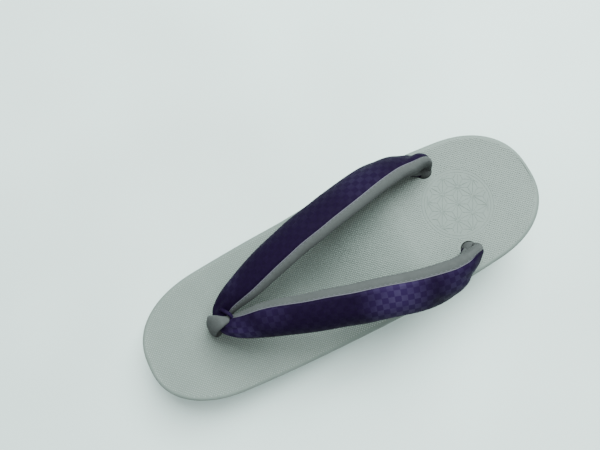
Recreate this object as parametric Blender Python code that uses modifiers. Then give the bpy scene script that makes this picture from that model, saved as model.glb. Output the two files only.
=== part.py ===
"""A zori: a flat sandal with a wedge sole, a padded V strap and a toe loop.

Lengths are in metres. +X runs from heel to toe, +Y to the wearer's left and +Z
up. The origin is on the floor under the middle of the sole. The sandal is the
same on both sides of the XZ plane, so each half piece gets a Mirror.
"""

from collections import namedtuple
from math import cos, hypot, pi, radians, sin

import bmesh
import bpy
from mathutils import Vector

# Sole, seen from above
LENGTH = 0.245          # heel tip to toe tip
WAIST_WIDTH = 0.083     # at the middle of the length, the widest place
TOE_WIDTH = 0.0773      # where the toe starts to round off
HEEL_WIDTH = 0.0752     # where the heel starts to round off
TOE_ROUND = 0.0475      # length of the toe's rounding
HEEL_ROUND = 0.0415     # length of the heel's rounding
END_POWER = 2.5         # superellipse exponent of both roundings

# Sole, seen from the side: heights of the top face over the floor
HEEL_HEIGHT = 0.047
BALL_HEIGHT = 0.028
TOE_HEIGHT = 0.033
TOE_SPRING = 0.009      # how far the bottom face lifts at the toe tip
ARCH_RISE = 0.0022      # how far the bottom face lifts under the arch
FOOTBED_THICK = 0.008
OUTSOLE_THICK = 0.0035
FOOTBED_EDGE = 0.0020   # radius of the footbed's upper edge
DISH = 0.0012           # hollow of the footbed across its width
WALL_TAPER = 0.0042     # how far the wedge draws in from footbed to floor
WALL_STEP = 0.0007      # step in from the footbed's edge to the wedge
OUTSOLE_LIP = 0.0004    # how far the outsole stands out from the wedge
CLEARANCE = 0.0003      # left between pieces that touch

# Tread: straight grooves across the heel pad and the forefoot pad
GROOVE_WIDTH = 0.0022
GROOVE_DEPTH = 0.0013
GROOVE_PITCH = 0.0080
GROOVE_MARGIN = 0.0085  # from a groove's end to the sole's edge
HEEL_GROOVES = 9
FOREFOOT_GROOVES = 9

# Places where the straps enter the sole
TOE_HOLE_X = 0.0790
REAR_HOLE_X = -0.0700
REAR_HOLE_Y = 0.0252

# Strap
STRAP_WIDTH = 0.0255    # over the curve, in its widest stretch
STRAP_OUTER = 0.0050    # crown of the outer cloth over its seams
STRAP_INNER = 0.0042    # crown of the lining over its seams
STRAP_SEAM = 0.0008     # thickness of the outer cloth at its seams
STRAP_REVEAL = 0.0046   # how far the lining wraps over the upper edge
STRAP_RISE = 0.0270     # bow over the line between the holes
TAIL_WIDTH = 0.0150     # where the strap is rolled up in its hole
TAIL_CURL = 245         # degrees that the rolled end turns through
TAIL_OUTER = 0.0011
TAIL_INNER = 0.0009

# Toe loop
LOOP_WIDTH = 0.0106     # across the foot, over the crossing
LOOP_FOOT_WIDTH = 0.0078  # across the foot, in its hole
LOOP_TUCK_WIDTH = 0.0040  # across the foot, where it is tucked behind the arms
LOOP_THICK = 0.0033     # of the rolled band
LOOP_SWEEP = 303        # degrees that the band goes round the crossing
LOOP_TUCK_FROM, LOOP_TUCK_TO = 60, 170  # degrees where it narrows
LOOP_BLUNT = 0.8        # exponent of the band's soft oval
LOOP_LEG_GAP = 0.0008   # between the two legs in the hole

# Shares of the length, heel 0 to toe 1, where the side profile changes
WEDGE_FROM, WEDGE_TO = 0.31, 0.60
SPRING_FROM = 0.73
ARCH_FROM, ARCH_TO = 0.34, 0.56

STATIONS = 42           # sections along the sole
STRAP_STEP = 0.0058     # between sections along the strap

# One section of an arm. along: share of the way from the toe hole to the rear
# hole. out: share of REAR_HOLE_Y. rise: share of STRAP_RISE, over the line
# between the holes. width, crown: shares of the strap's width and crowns.
# tilt: turn of the outer face from up to outwards. lead: turn from up to
# forwards. curl: turn of the section round its own length. All in degrees.
ArmRow = namedtuple("ArmRow", "along out rise width crown tilt lead curl")
ARM_ROWS = (
    ArmRow(0.071, 0.00, 0.64, 0.46, 0.62, 0, 28, 10),
    ArmRow(0.077, 0.14, 0.65, 0.45, 0.64, 3, 22, 10),
    ArmRow(0.100, 0.24, 0.69, 0.50, 0.70, 8, 12, 8),
    ArmRow(0.142, 0.33, 0.77, 0.60, 0.80, 14, 6, 8),
    ArmRow(0.229, 0.46, 0.91, 0.76, 0.92, 20, 0, 8),
    ArmRow(0.364, 0.70, 0.99, 0.85, 1.00, 26, 0, 8),
    ArmRow(0.498, 0.91, 0.98, 0.91, 1.00, 31, 0, 8),
    ArmRow(0.633, 1.10, 0.88, 0.95, 1.00, 35, 0, 10),
    ArmRow(0.768, 1.28, 0.71, 0.98, 1.00, 41, 0, 14),
    ArmRow(0.869, 1.34, 0.55, 0.99, 0.96, 52, 0, 24),
    ArmRow(0.932, 1.28, 0.47, 0.88, 0.80, 66, 0, 48),
    ArmRow(0.974, 1.21, 0.36, 0.72, 0.55, 80, 0, 100),
)
# Depths of the rolled end in its hole, as shares of the footbed's thickness.
TAIL_DEPTHS = (-0.15, 0.35, 1.0)

# Levels of the wedge's wall: share of its height, share of WALL_TAPER.
WallRow = namedtuple("WallRow", "height taper")
WALL_ROWS = (
    WallRow(0.0, 1.00),
    WallRow(0.3, 0.66),
    WallRow(0.7, 0.25),
    WallRow(1.0, 0.00),
)

# Colours, linear RGB
FOOTBED_GREY = (0.42, 0.45, 0.42)
WEDGE_GREY = (0.36, 0.37, 0.36)
RUBBER_GREY = (0.10, 0.10, 0.10)
STRAP_PURPLE = (0.022, 0.012, 0.060)
VELOUR_GREY = (0.21, 0.22, 0.21)


def smooth_ramp(value, start, end):
    """Rise from 0 at start to 1 at end, level at both ends."""
    share = min(max((value - start) / (end - start), 0.0), 1.0)
    return share * share * (3.0 - 2.0 * share)


def share_of_length(x):
    """Return 0 at the heel tip and 1 at the toe tip."""
    return x / LENGTH + 0.5


def half_width(x):
    """Half width of the footbed's outline at x."""
    reach = LENGTH / 2
    rounding, end_width = (TOE_ROUND, TOE_WIDTH) if x > 0 else (HEEL_ROUND, HEEL_WIDTH)
    straight = reach - rounding
    side = WAIST_WIDTH - (WAIST_WIDTH - end_width) * (x / straight) ** 2
    past = min(max((abs(x) - straight) / rounding, 0.0), 1.0)
    return side / 2 * (1.0 - past ** END_POWER) ** (1.0 / END_POWER)


def top_height(x):
    """Height of the footbed's edge: high heel, level ball, lifted toe."""
    share = share_of_length(x)
    heel = 1.0 - smooth_ramp(share, WEDGE_FROM, WEDGE_TO)
    toe = max(share - SPRING_FROM, 0.0) / (1.0 - SPRING_FROM)
    return BALL_HEIGHT + (HEEL_HEIGHT - BALL_HEIGHT) * heel + (TOE_HEIGHT - BALL_HEIGHT) * toe ** 2


def bottom_height(x):
    """Height of the sole's bottom face: flat pads, a low arch and toe spring."""
    share = share_of_length(x)
    middle = (ARCH_FROM + ARCH_TO) / 2
    if share < middle:
        arch = smooth_ramp(share, ARCH_FROM, middle)
    else:
        arch = 1.0 - smooth_ramp(share, middle, ARCH_TO)
    toe = max(share - SPRING_FROM, 0.0) / (1.0 - SPRING_FROM)
    return ARCH_RISE * arch + TOE_SPRING * toe ** 2


def dished(x, share):
    """Height of the footbed's top face at a share of its half width.

    The hollow runs out at the rim, which lies FOOTBED_EDGE inside the outline.
    """
    outline_x = x / (1.0 - FOOTBED_EDGE / (LENGTH / 2))
    hollow = DISH * (1.0 - share * share) * half_width(outline_x) / (WAIST_WIDTH / 2)
    return top_height(x) - hollow


def footbed_underside(x):
    """Height of the face where the footbed sits on the wedge."""
    return top_height(x) - FOOTBED_THICK


def station_places():
    """X of each section of the sole, closer together towards both tips."""
    return [-LENGTH / 2 * cos(pi * step / STATIONS) for step in range(STATIONS + 1)]


def add_material(name, colour, roughness):
    """Make a plain Principled material."""
    material = bpy.data.materials.new(name)
    material.use_nodes = True
    shader = material.node_tree.nodes["Principled BSDF"]
    shader.inputs["Base Color"].default_value = (*colour, 1.0)
    shader.inputs["Roughness"].default_value = roughness
    shader.inputs["Metallic"].default_value = 0.0
    material.diffuse_color = (*colour, 1.0)
    return material


def loft(name, rings, collection, closed, caps=()):
    """Skin a row of rings of points; rings may meet in a point at the ends."""
    mesh = bpy.data.meshes.new(name)
    shape = bmesh.new()
    rows = [[shape.verts.new(point) for point in ring] for ring in rings]
    count = len(rows[0])
    for low, high in zip(rows, rows[1:]):
        for index in range(count if closed else count - 1):
            after = (index + 1) % count
            shape.faces.new((low[index], low[after], high[after], high[index]))
    for end in caps:
        shape.faces.new(rows[end])
    bmesh.ops.remove_doubles(shape, verts=shape.verts, dist=1e-7)
    bmesh.ops.recalc_face_normals(shape, faces=shape.faces)
    bmesh.ops.triangulate(shape, faces=shape.faces)
    shape.to_mesh(mesh)
    shape.free()
    piece = bpy.data.objects.new(name, mesh)
    collection.objects.link(piece)
    return piece


def mirror_across_middle(piece):
    """Add the other half, joined at the plane between them."""
    mirror = piece.modifiers.new("other_half", "MIRROR")
    mirror.use_axis = (False, True, False)
    mirror.use_clip = True
    mirror.merge_threshold = 0.00001
    return piece


def face_outwards(piece):
    """Turn every face of a piece so that it points out of the finished body."""
    shape = bmesh.new()
    shape.from_mesh(piece.data)
    depsgraph = bpy.context.evaluated_depsgraph_get()
    whole = bmesh.new()
    whole.from_mesh(piece.evaluated_get(depsgraph).data)
    if whole.calc_volume(signed=True) < 0:
        bmesh.ops.reverse_faces(shape, faces=shape.faces)
    shape.to_mesh(piece.data)
    whole.free()
    shape.free()


def finish(piece, material, angle=35):
    """Give a piece its material and smooth shading between sharp edges."""
    face_outwards(piece)
    piece.data.materials.append(material)
    piece.data.shade_smooth()
    piece.data.set_sharp_from_angle(angle=radians(angle))


def cut(piece, cutter):
    """Take the cutter's shape out of a piece."""
    cutter.hide_render = True
    cutter.display_type = "WIRE"
    boolean = piece.modifiers.new("cut_" + cutter.name, "BOOLEAN")
    boolean.operation = "DIFFERENCE"
    boolean.object = cutter


def sole_ring(x, levels):
    """One half section of the sole, from the bottom middle to the top middle.

    Each level is (share of the half width, inset, function giving the height).
    The inset draws the outline in all round, at the tips as at the sides.
    """
    ring = []
    for share, inset, height in levels:
        place = x * (1.0 - inset / (LENGTH / 2))
        reach = half_width(x) * (1.0 - inset / (WAIST_WIDTH / 2))
        ring.append((place, share * reach, height(place)))
    return ring


def build_sole_piece(name, levels, collection):
    """Loft one layer of the sole from its levels."""
    rings = [sole_ring(x, levels) for x in station_places()]
    return mirror_across_middle(loft(name, rings, collection, closed=False))


def build_footbed(collection, cutters):
    """The top board: dished, round at its upper edge, with three holes."""
    edge = FOOTBED_EDGE
    seat = WALL_STEP
    levels = [(0.0, seat, footbed_underside), (0.5, seat, footbed_underside)]
    levels.append((1.0, seat, footbed_underside))
    levels.append((1.0, 0.0, lambda x: footbed_underside(x) + WALL_STEP))
    for step in range(4):
        turn = radians(30 * step)
        inset = edge * (1.0 - cos(turn))
        drop = edge * (1.0 - sin(turn))
        levels.append((1.0, inset, lambda x, drop=drop: top_height(x) - drop))
    for share in (0.9, 0.72, 0.48, 0.24, 0.0):
        levels.append((share, edge, lambda x, share=share: dished(x, share)))
    footbed = build_sole_piece("footbed", levels, collection)
    for place, radius, name in (
        ((TOE_HOLE_X, 0.0), loop_hole_radius(), "toe_hole"),
        ((REAR_HOLE_X, REAR_HOLE_Y), tail_hole_radius(), "left_hole"),
        ((REAR_HOLE_X, -REAR_HOLE_Y), tail_hole_radius(), "right_hole"),
    ):
        cut(footbed, build_drill(name, place, radius, cutters))
    return footbed


def build_drill(name, place, radius, cutters):
    """A cylinder that goes right through the footbed."""
    shape = bmesh.new()
    depth = FOOTBED_THICK * 4
    bmesh.ops.create_cone(
        shape, cap_ends=True, segments=24, radius1=radius, radius2=radius, depth=depth
    )
    mesh = bpy.data.meshes.new(name)
    shape.to_mesh(mesh)
    shape.free()
    drill = bpy.data.objects.new(name, mesh)
    drill.location = (place[0], place[1], top_height(place[0]) - FOOTBED_THICK / 2)
    cutters.objects.link(drill)
    return drill


def wedge_base(x):
    """Height of the wedge's bottom face."""
    return bottom_height(x) + OUTSOLE_THICK


def wedge_top(x):
    """Height of the wedge's top face, just under the footbed."""
    return footbed_underside(x) - CLEARANCE


def build_midsole(collection):
    """The wedge between outsole and footbed, drawn in towards the floor."""
    foot = WALL_STEP + WALL_TAPER
    levels = [(0.0, foot, wedge_base), (0.5, foot, wedge_base)]
    for row in WALL_ROWS:
        inset = WALL_STEP + WALL_TAPER * row.taper

        def height(x, share=row.height):
            return wedge_base(x) + (wedge_top(x) - wedge_base(x)) * share

        levels.append((1.0, inset, height))
    levels += [(0.5, WALL_STEP, wedge_top), (0.0, WALL_STEP, wedge_top)]
    return build_sole_piece("midsole", levels, collection)


def build_outsole(collection, cutters):
    """The rubber under the wedge, with a pad of grooves at heel and forefoot."""
    inset = WALL_STEP + WALL_TAPER - OUTSOLE_LIP
    bevel = OUTSOLE_LIP

    def top(x):
        return bottom_height(x) + OUTSOLE_THICK - CLEARANCE

    levels = [
        (0.0, inset + bevel, bottom_height),
        (0.5, inset + bevel, bottom_height),
        (1.0, inset + bevel, bottom_height),
        (1.0, inset, lambda x: bottom_height(x) + bevel),
        (1.0, inset, top),
        (0.5, inset, top),
        (0.0, inset, top),
    ]
    outsole = build_sole_piece("outsole", levels, collection)
    cut(outsole, build_grooves(cutters))
    return outsole


def groove_places():
    """X of each groove, centred on the flat heel pad and forefoot pad."""
    heel_middle = LENGTH * (ARCH_FROM / 2 - 0.5)
    forefoot_middle = LENGTH * ((ARCH_TO + SPRING_FROM) / 2 - 0.5)
    places = []
    for middle, count in ((heel_middle, HEEL_GROOVES), (forefoot_middle, FOREFOOT_GROOVES)):
        for index in range(count):
            places.append(middle + (index - (count - 1) / 2) * GROOVE_PITCH)
    return places


def build_grooves(cutters):
    """One cutter with a bar for each groove of the tread."""
    shape = bmesh.new()
    for x in groove_places():
        reach = half_width(x) - GROOVE_MARGIN
        bar = bmesh.ops.create_cube(shape, size=1.0)["verts"]
        bmesh.ops.scale(shape, verts=bar, vec=(GROOVE_WIDTH, 2 * reach, 2 * GROOVE_DEPTH))
        bmesh.ops.translate(shape, verts=bar, vec=(x, 0.0, bottom_height(x)))
    mesh = bpy.data.meshes.new("tread_grooves")
    shape.to_mesh(mesh)
    shape.free()
    grooves = bpy.data.objects.new("tread_grooves", mesh)
    cutters.objects.link(grooves)
    return grooves


def tail_radius():
    """Radius of the seam line where the strap's end is rolled up."""
    return TAIL_WIDTH / radians(TAIL_CURL)


def tail_hole_radius():
    """Radius of the hole that the rolled end fills."""
    return tail_radius() + STRAP_SEAM + TAIL_OUTER + CLEARANCE


def arm_sections():
    """Sections of one arm, from the crossing to the bottom of the rear hole.

    Each is (place, width, outer crown, inner crown, tilt, lead, curl).
    """
    run = REAR_HOLE_X - TOE_HOLE_X
    front, back = top_height(TOE_HOLE_X), top_height(REAR_HOLE_X)
    sections = []
    for row in ARM_ROWS:
        line = front + (back - front) * row.along
        place = Vector((TOE_HOLE_X + run * row.along, REAR_HOLE_Y * row.out, line + STRAP_RISE * row.rise))
        outer, inner = STRAP_OUTER * row.crown, STRAP_INNER * row.crown
        sections.append(
            (place, STRAP_WIDTH * row.width, outer, inner, row.tilt, row.lead, row.curl)
        )
    for depth in TAIL_DEPTHS:
        place = Vector((REAR_HOLE_X, REAR_HOLE_Y + tail_radius(), back - FOOTBED_THICK * depth))
        sections.append((place, TAIL_WIDTH, TAIL_OUTER, TAIL_INNER, 90, 0, TAIL_CURL))
    return sections


def smooth_sections(sections):
    """Pass a smooth curve through the sections and read it at even steps."""
    values = [(*place, *rest) for place, *rest in sections]
    first, second = values[0], values[1]
    ghost = tuple(-v if i == 1 else v for i, v in enumerate(second))
    values = [ghost] + values
    knots = [0.0]
    for a, b in zip(values, values[1:]):
        knots.append(knots[-1] + (Vector(b[:3]) - Vector(a[:3])).length)
    slopes = []
    last = len(values) - 1
    for index in range(len(values)):
        before, after = max(index - 1, 0), min(index + 1, last)
        gap = knots[after] - knots[before]
        slopes.append([(b - a) / gap for a, b in zip(values[before], values[after])])
    stations = [list(first)]
    for index in range(1, last):
        span = knots[index + 1] - knots[index]
        steps = max(1, round(span / STRAP_STEP))
        for step in range(1, steps + 1):
            t = step / steps
            stations.append(
                [
                    hermite(t, span, start, end, slope_a, slope_b)
                    for start, end, slope_a, slope_b in zip(
                        values[index], values[index + 1], slopes[index], slopes[index + 1]
                    )
                ]
            )
    return stations


def hermite(t, span, start, end, slope_start, slope_end):
    """Cubic between two values with given slopes."""
    return (
        (2 * t ** 3 - 3 * t ** 2 + 1) * start
        + (t ** 3 - 2 * t ** 2 + t) * span * slope_start
        + (3 * t ** 2 - 2 * t ** 3) * end
        + (t ** 3 - t ** 2) * span * slope_end
    )


def arm_frames():
    """Stations of one arm with the directions of its width and outer face."""
    stations = smooth_sections(arm_sections())
    frames = []
    last = len(stations) - 1
    for index, station in enumerate(stations):
        place = Vector(station[:3])
        if index == 0:
            tangent = Vector((0.0, 1.0, 0.0))
        else:
            ahead = Vector(stations[min(index + 1, last)][:3])
            tangent = (ahead - Vector(stations[index - 1][:3])).normalized()
        width, outer, inner, tilt, lead, curl = station[3:]
        tilt, lead = radians(tilt), radians(lead)
        face = Vector((sin(lead) * cos(tilt), sin(tilt), cos(lead) * cos(tilt)))
        face = (face - tangent * face.dot(tangent)).normalized()
        across = face.cross(tangent)
        frames.append((place, across, face, width, outer, inner, radians(curl)))
    return frames


def bent_point(frame, along, off):
    """Point at a distance along the section's width and off its seam line.

    The seam line is bent through the section's curl towards the lining.
    """
    place, across, face, width, _, _, curl = frame
    radius = width / curl
    turn = along / radius
    reach = radius + off
    return place + across * (reach * sin(turn)) + face * (reach * cos(turn) - radius)


def arm_profile(frame):
    """Half width, crowns and upper seam of a section, with its swell function."""
    half, outer, inner = frame[3] / 2, frame[4], frame[5]
    seam = half * (1.0 - 2 * STRAP_REVEAL / STRAP_WIDTH)

    def swell(along):
        return max(1.0 - (along / half) ** 2, 0.0) ** 0.5

    return half, outer, inner, seam, swell


def spread(start, end, steps):
    """Values from start to end, closer together at both."""
    middle, reach = (start + end) / 2, (end - start) / 2
    return [middle - reach * cos(pi * step / steps) for step in range(steps + 1)]


def outer_ring(frame):
    """Section of the outer cloth: its crowned face, then the face on the lining."""
    half, outer, _, seam, swell = arm_profile(frame)
    ring = []
    for along in spread(-half, seam, 8):
        ring.append(bent_point(frame, along, outer * swell(along) + STRAP_SEAM))
    for along in reversed(spread(-half, seam, 4)):
        ring.append(bent_point(frame, along, split_height(frame, along) + CLEARANCE / 2))
    return ring


def lining_ring(frame):
    """Section of the lining: under the cloth, over the edge, then its own face."""
    half, outer, inner, seam, swell = arm_profile(frame)
    ring = []
    for along in spread(-half, seam, 4):
        ring.append(bent_point(frame, along, split_height(frame, along) - CLEARANCE / 2))
    for along in spread(seam + CLEARANCE, half, 3):
        ring.append(bent_point(frame, along, outer * swell(along)))
    for along in reversed(spread(-half, half, 8)):
        ring.append(bent_point(frame, along, -inner * swell(along) - STRAP_SEAM))
    return ring


def split_height(frame, along):
    """Where cloth and lining part: low at the lower seam, up at the upper one."""
    half, outer, _, seam, swell = arm_profile(frame)
    share = (along + half) / (seam + half)
    return outer * swell(seam) * share * share


def build_strap_layer(name, section, collection):
    """One layer of both arms, in one piece where they cross."""
    rings = [section(frame) for frame in arm_frames()]
    for point in rings[0]:
        point.y = 0.0
    for ring in rings[1:]:
        for point in ring:
            point.y = max(point.y, CLEARANCE / 2)
    arm = loft(name, rings, collection, closed=True, caps=(-1,))
    return mirror_across_middle(arm)


def loop_hole_radius():
    """Radius of the hole that holds both legs of the toe loop."""
    legs = LOOP_THICK + LOOP_LEG_GAP / 2
    return hypot(legs, LOOP_FOOT_WIDTH / 2) * 0.93 + CLEARANCE


def loop_path():
    """Stations of the toe loop: (x, z, width across the foot).

    The band rises from its hole in front of the crossing and goes over it. It
    narrows as it tucks in behind and under the arms, and goes back down beside
    its own front leg.
    """
    place, across, face, width, outer, inner, _ = arm_frames()[0]
    forward = -across
    band = STRAP_SEAM + CLEARANCE + LOOP_THICK / 2
    long_axis = width / 2 + CLEARANCE + LOOP_THICK / 2
    leg = LOOP_THICK / 2 + LOOP_LEG_GAP / 2
    feet = []
    for x in (TOE_HOLE_X + leg, TOE_HOLE_X - leg):
        feet.append((x, footbed_underside(x), LOOP_FOOT_WIDTH))
        feet.append((x, dished(x, 0.0), LOOP_FOOT_WIDTH))
    path = feet[:2]
    turns = 14
    for step in range(turns + 1):
        degrees = LOOP_SWEEP * step / turns
        turn = radians(degrees)
        reach = band + (outer if sin(turn) > 0 else inner)
        point = place + forward * (long_axis * cos(turn)) + face * (reach * sin(turn))
        tuck = smooth_ramp(degrees, LOOP_TUCK_FROM, LOOP_TUCK_TO)
        path.append((point.x, point.z, LOOP_WIDTH + (LOOP_TUCK_WIDTH - LOOP_WIDTH) * tuck))
    return path + [feet[3], feet[2]]


def build_loop_band(name, path, grow, collection):
    """Sweep a soft oval along a path, thicker all round by grow."""
    rings = []
    last = len(path) - 1
    corners = 14
    for index, (x, z, width) in enumerate(path):
        ahead, behind = path[min(index + 1, last)], path[max(index - 1, 0)]
        tangent = Vector((ahead[0] - behind[0], 0.0, ahead[1] - behind[1])).normalized()
        outwards = Vector((-tangent.z, 0.0, tangent.x))
        ring = []
        for corner in range(corners):
            turn = 2 * pi * corner / corners
            side = blunt(cos(turn)) * (width / 2 + grow)
            lift = blunt(sin(turn)) * (LOOP_THICK / 2 + grow)
            ring.append(Vector((x, side, z)) + outwards * lift)
        rings.append(ring)
    return loft(name, rings, collection, closed=True, caps=(0, -1))


def blunt(value):
    """Push a sine or cosine outwards, so that an oval becomes a soft box."""
    return abs(value) ** LOOP_BLUNT * (1 if value > 0 else -1)


def main():
    """Clear the file and build every piece."""
    for old in list(bpy.data.objects):
        bpy.data.objects.remove(old, do_unlink=True)
    collection = bpy.data.collections.new("zori_sandal")
    cutters = bpy.data.collections.new("cutters")
    bpy.context.scene.collection.children.link(collection)
    bpy.context.scene.collection.children.link(cutters)

    finish(build_outsole(collection, cutters), add_material("outsole_rubber", RUBBER_GREY, 0.8))
    finish(build_midsole(collection), add_material("wedge_foam", WEDGE_GREY, 0.6))
    finish(build_footbed(collection, cutters), add_material("footbed_sheet", FOOTBED_GREY, 0.6))
    path = loop_path()
    pinch = build_loop_band("loop_pinch", path[2:-2], CLEARANCE, cutters)
    face_outwards(pinch)
    upper = build_strap_layer("strap_upper", outer_ring, collection)
    finish(upper, add_material("strap_jacquard", STRAP_PURPLE, 0.55))
    cut(upper, pinch)
    lining = build_strap_layer("strap_lining", lining_ring, collection)
    finish(lining, add_material("strap_velour", VELOUR_GREY, 0.9))
    cut(lining, pinch)
    loop = build_loop_band("toe_loop", path, 0.0, collection)
    finish(loop, add_material("loop_velour", VELOUR_GREY, 0.9))


main()
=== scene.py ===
"""Dresses a zori: a wedge sandal with a pressed foam footbed and padded V straps.

Lengths are in metres. +X runs from heel to toe, +Y to the wearer's left and +Z
up, with the origin on the floor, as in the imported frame. The forms repeat the
part's own sizes, at a finer step, so that each piece lies on its CAD node.
"""

from __future__ import annotations

import logging
from dataclasses import dataclass
from enum import Enum
from functools import cached_property
from math import cos, exp, hypot, pi, radians, sin, sqrt
from typing import Any, Callable, Iterable, NamedTuple, Sequence

import bmesh
import bpy
from mathutils import Matrix, Vector, noise

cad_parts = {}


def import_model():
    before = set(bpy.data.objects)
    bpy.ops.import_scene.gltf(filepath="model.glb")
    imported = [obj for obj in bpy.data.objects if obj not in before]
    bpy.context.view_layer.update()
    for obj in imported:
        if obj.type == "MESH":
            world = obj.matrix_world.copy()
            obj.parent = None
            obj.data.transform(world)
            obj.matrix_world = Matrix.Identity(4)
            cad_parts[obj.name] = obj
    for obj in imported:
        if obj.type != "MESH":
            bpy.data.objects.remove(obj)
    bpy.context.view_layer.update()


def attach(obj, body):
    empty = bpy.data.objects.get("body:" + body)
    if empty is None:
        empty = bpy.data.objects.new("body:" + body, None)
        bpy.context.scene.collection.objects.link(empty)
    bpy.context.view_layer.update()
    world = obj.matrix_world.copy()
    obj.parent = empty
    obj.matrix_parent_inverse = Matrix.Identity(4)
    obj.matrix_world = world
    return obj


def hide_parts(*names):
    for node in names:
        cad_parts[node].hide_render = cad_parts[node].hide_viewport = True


LOG = logging.getLogger("zori")
BODY = "root"
MM = 0.001
CHART_NAME = "chart"
GRID_EXTENT = 0.27
GRID_TURN = 45
RAY_LENGTH = 0.2
Chart = Callable[[int, int], tuple[float, float]]
Height = Callable[[float], float]
Level = tuple[float, float, Height]


# Small tools: numbers


def smooth_ramp(value: float, start: float, end: float) -> float:
    """Rise from 0 at start to 1 at end, level at both ends."""
    share = min(max((value - start) / (end - start), 0.0), 1.0)
    return share * share * (3.0 - 2.0 * share)


def spread(start: float, end: float, steps: int) -> list[float]:
    """Values from start to end, closer together at both."""
    middle, reach = (start + end) / 2, (end - start) / 2
    return [middle - reach * cos(pi * step / steps) for step in range(steps + 1)]


def even(start: float, end: float, steps: int) -> list[float]:
    """Values from start to end at even steps."""
    return [start + (end - start) * step / steps for step in range(steps + 1)]


def hermite(t: float, span: float, start: float, end: float, slope_a: float, slope_b: float) -> float:
    """Cubic between two values with given slopes.

    Args:
        t: share of the way, 0 to 1.
        span: length of the way.
        start: value at 0.
        end: value at 1.
        slope_a: slope at 0.
        slope_b: slope at 1.

    Returns:
        The value at t.
    """
    return (
        (2 * t ** 3 - 3 * t ** 2 + 1) * start
        + (t ** 3 - 2 * t ** 2 + t) * span * slope_a
        + (3 * t ** 2 - 2 * t ** 3) * end
        + (t ** 3 - t ** 2) * span * slope_b
    )


def eased(rows: Sequence[tuple[float, float]], place: float) -> float:
    """Read a table of values, with soft steps between its rows.

    Args:
        rows: (place, value), rising in place.
        place: where to read.

    Returns:
        The value there.
    """
    if place <= rows[0][0]:
        return rows[0][1]
    for (low, first), (high, second) in zip(rows, rows[1:]):
        if place <= high:
            return first + (second - first) * smooth_ramp(place, low, high)
    return rows[-1][1]


def linear(code: str) -> tuple[float, float, float, float]:
    """Turn a colour linear.

    Args:
        code: the sRGB hex value, with its #.

    Returns:
        Linear RGBA.
    """
    parts = [int(code[index : index + 2], 16) / 255 for index in (1, 3, 5)]
    red, green, blue = [p / 12.92 if p <= 0.04045 else ((p + 0.055) / 1.055) ** 2.4 for p in parts]
    return red, green, blue, 1.0


# Small tools: meshes and nodes


def add_node(tree: bpy.types.NodeTree, kind: str, feeds: dict | None = None, **settings: Any) -> Any:
    """Add a node with its settings, values and links.

    Args:
        tree: the tree that gets the node.
        kind: the node's type.
        feeds: a value or an output socket for each input, by name or number.
        settings: properties of the node.

    Returns:
        The new node.
    """
    node = tree.nodes.new(kind)
    for name, value in settings.items():
        setattr(node, name, value)
    for key, value in (feeds or {}).items():
        if isinstance(value, bpy.types.NodeSocket):
            tree.links.new(value, node.inputs[key])
        else:
            node.inputs[key].default_value = value
    return node


def link_mesh(name: str, mesh: bpy.types.Mesh) -> bpy.types.Object:
    """Put a mesh in the scene.

    Args:
        name: the object's name.
        mesh: its mesh.

    Returns:
        The object, at the origin.
    """
    piece = bpy.data.objects.new(name, mesh)
    bpy.context.scene.collection.objects.link(piece)
    return piece


def from_bmesh(name: str, shape: bmesh.types.BMesh) -> bpy.types.Object:
    """Turn a bmesh into an object, and free it.

    Args:
        name: the object's name.
        shape: the bmesh.

    Returns:
        The object, at the origin.
    """
    mesh = bpy.data.meshes.new(name)
    shape.to_mesh(mesh)
    shape.free()
    for layer in mesh.uv_layers:
        layer.name = CHART_NAME
    return link_mesh(name, mesh)


def skin(
    shape: bmesh.types.BMesh,
    rows: Sequence[Sequence[Vector]],
    closed: bool = True,
    caps: Iterable[int] = (),
    chart: Chart | None = None,
) -> None:
    """Skin rows of points with faces, and lay a UV chart on them.

    Args:
        shape: gets the faces.
        rows: rings of points, all of one length.
        closed: whether the last point of a ring joins the first.
        caps: numbers of the rows that get a face across.
        chart: UV of (row, column). The column runs on past the last one.
    """
    layer = shape.loops.layers.uv.verify() if chart else None
    points = [[shape.verts.new(point) for point in row] for row in rows]
    count = len(points[0])
    for row, (low, high) in enumerate(zip(points, points[1:])):
        for column in range(count if closed else count - 1):
            after = (column + 1) % count
            face = shape.faces.new((low[column], low[after], high[after], high[column]))
            if layer:
                corners = ((row, column), (row, column + 1), (row + 1, column + 1), (row + 1, column))
                for loop, corner in zip(face.loops, corners):
                    loop[layer].uv = chart(*corner)
    for end in caps:
        face = shape.faces.new(points[end])
        if layer:
            for column, loop in enumerate(face.loops):
                loop[layer].uv = chart(end % len(rows), column)


def weld(shape: bmesh.types.BMesh, distance: float = 1e-7) -> None:
    """Merge doubled points and turn all faces outwards."""
    bmesh.ops.remove_doubles(shape, verts=shape.verts, dist=distance)
    bmesh.ops.recalc_face_normals(shape, faces=shape.faces)


def settle(piece: bpy.types.Object) -> None:
    """Turn a piece's modifiers into its plain mesh, and remove them.

    Args:
        piece: the object with the modifiers.
    """
    depsgraph = bpy.context.evaluated_depsgraph_get()
    mesh = bpy.data.meshes.new_from_object(piece.evaluated_get(depsgraph), depsgraph=depsgraph)
    mesh.name = piece.name
    piece.modifiers.clear()
    piece.data = mesh


def carve(piece: bpy.types.Object, cutters: Iterable[bpy.types.Object]) -> None:
    """Take the cutters' shapes out of a piece, and remove the cutters.

    Args:
        piece: what is cut.
        cutters: closed shapes.
    """
    cutters = list(cutters)
    for cutter in cutters:
        boolean = piece.modifiers.new("carve", "BOOLEAN")
        boolean.operation = "DIFFERENCE"
        boolean.solver = "EXACT"
        boolean.object = cutter
    settle(piece)
    for cutter in cutters:
        bpy.data.objects.remove(cutter, do_unlink=True)


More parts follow.
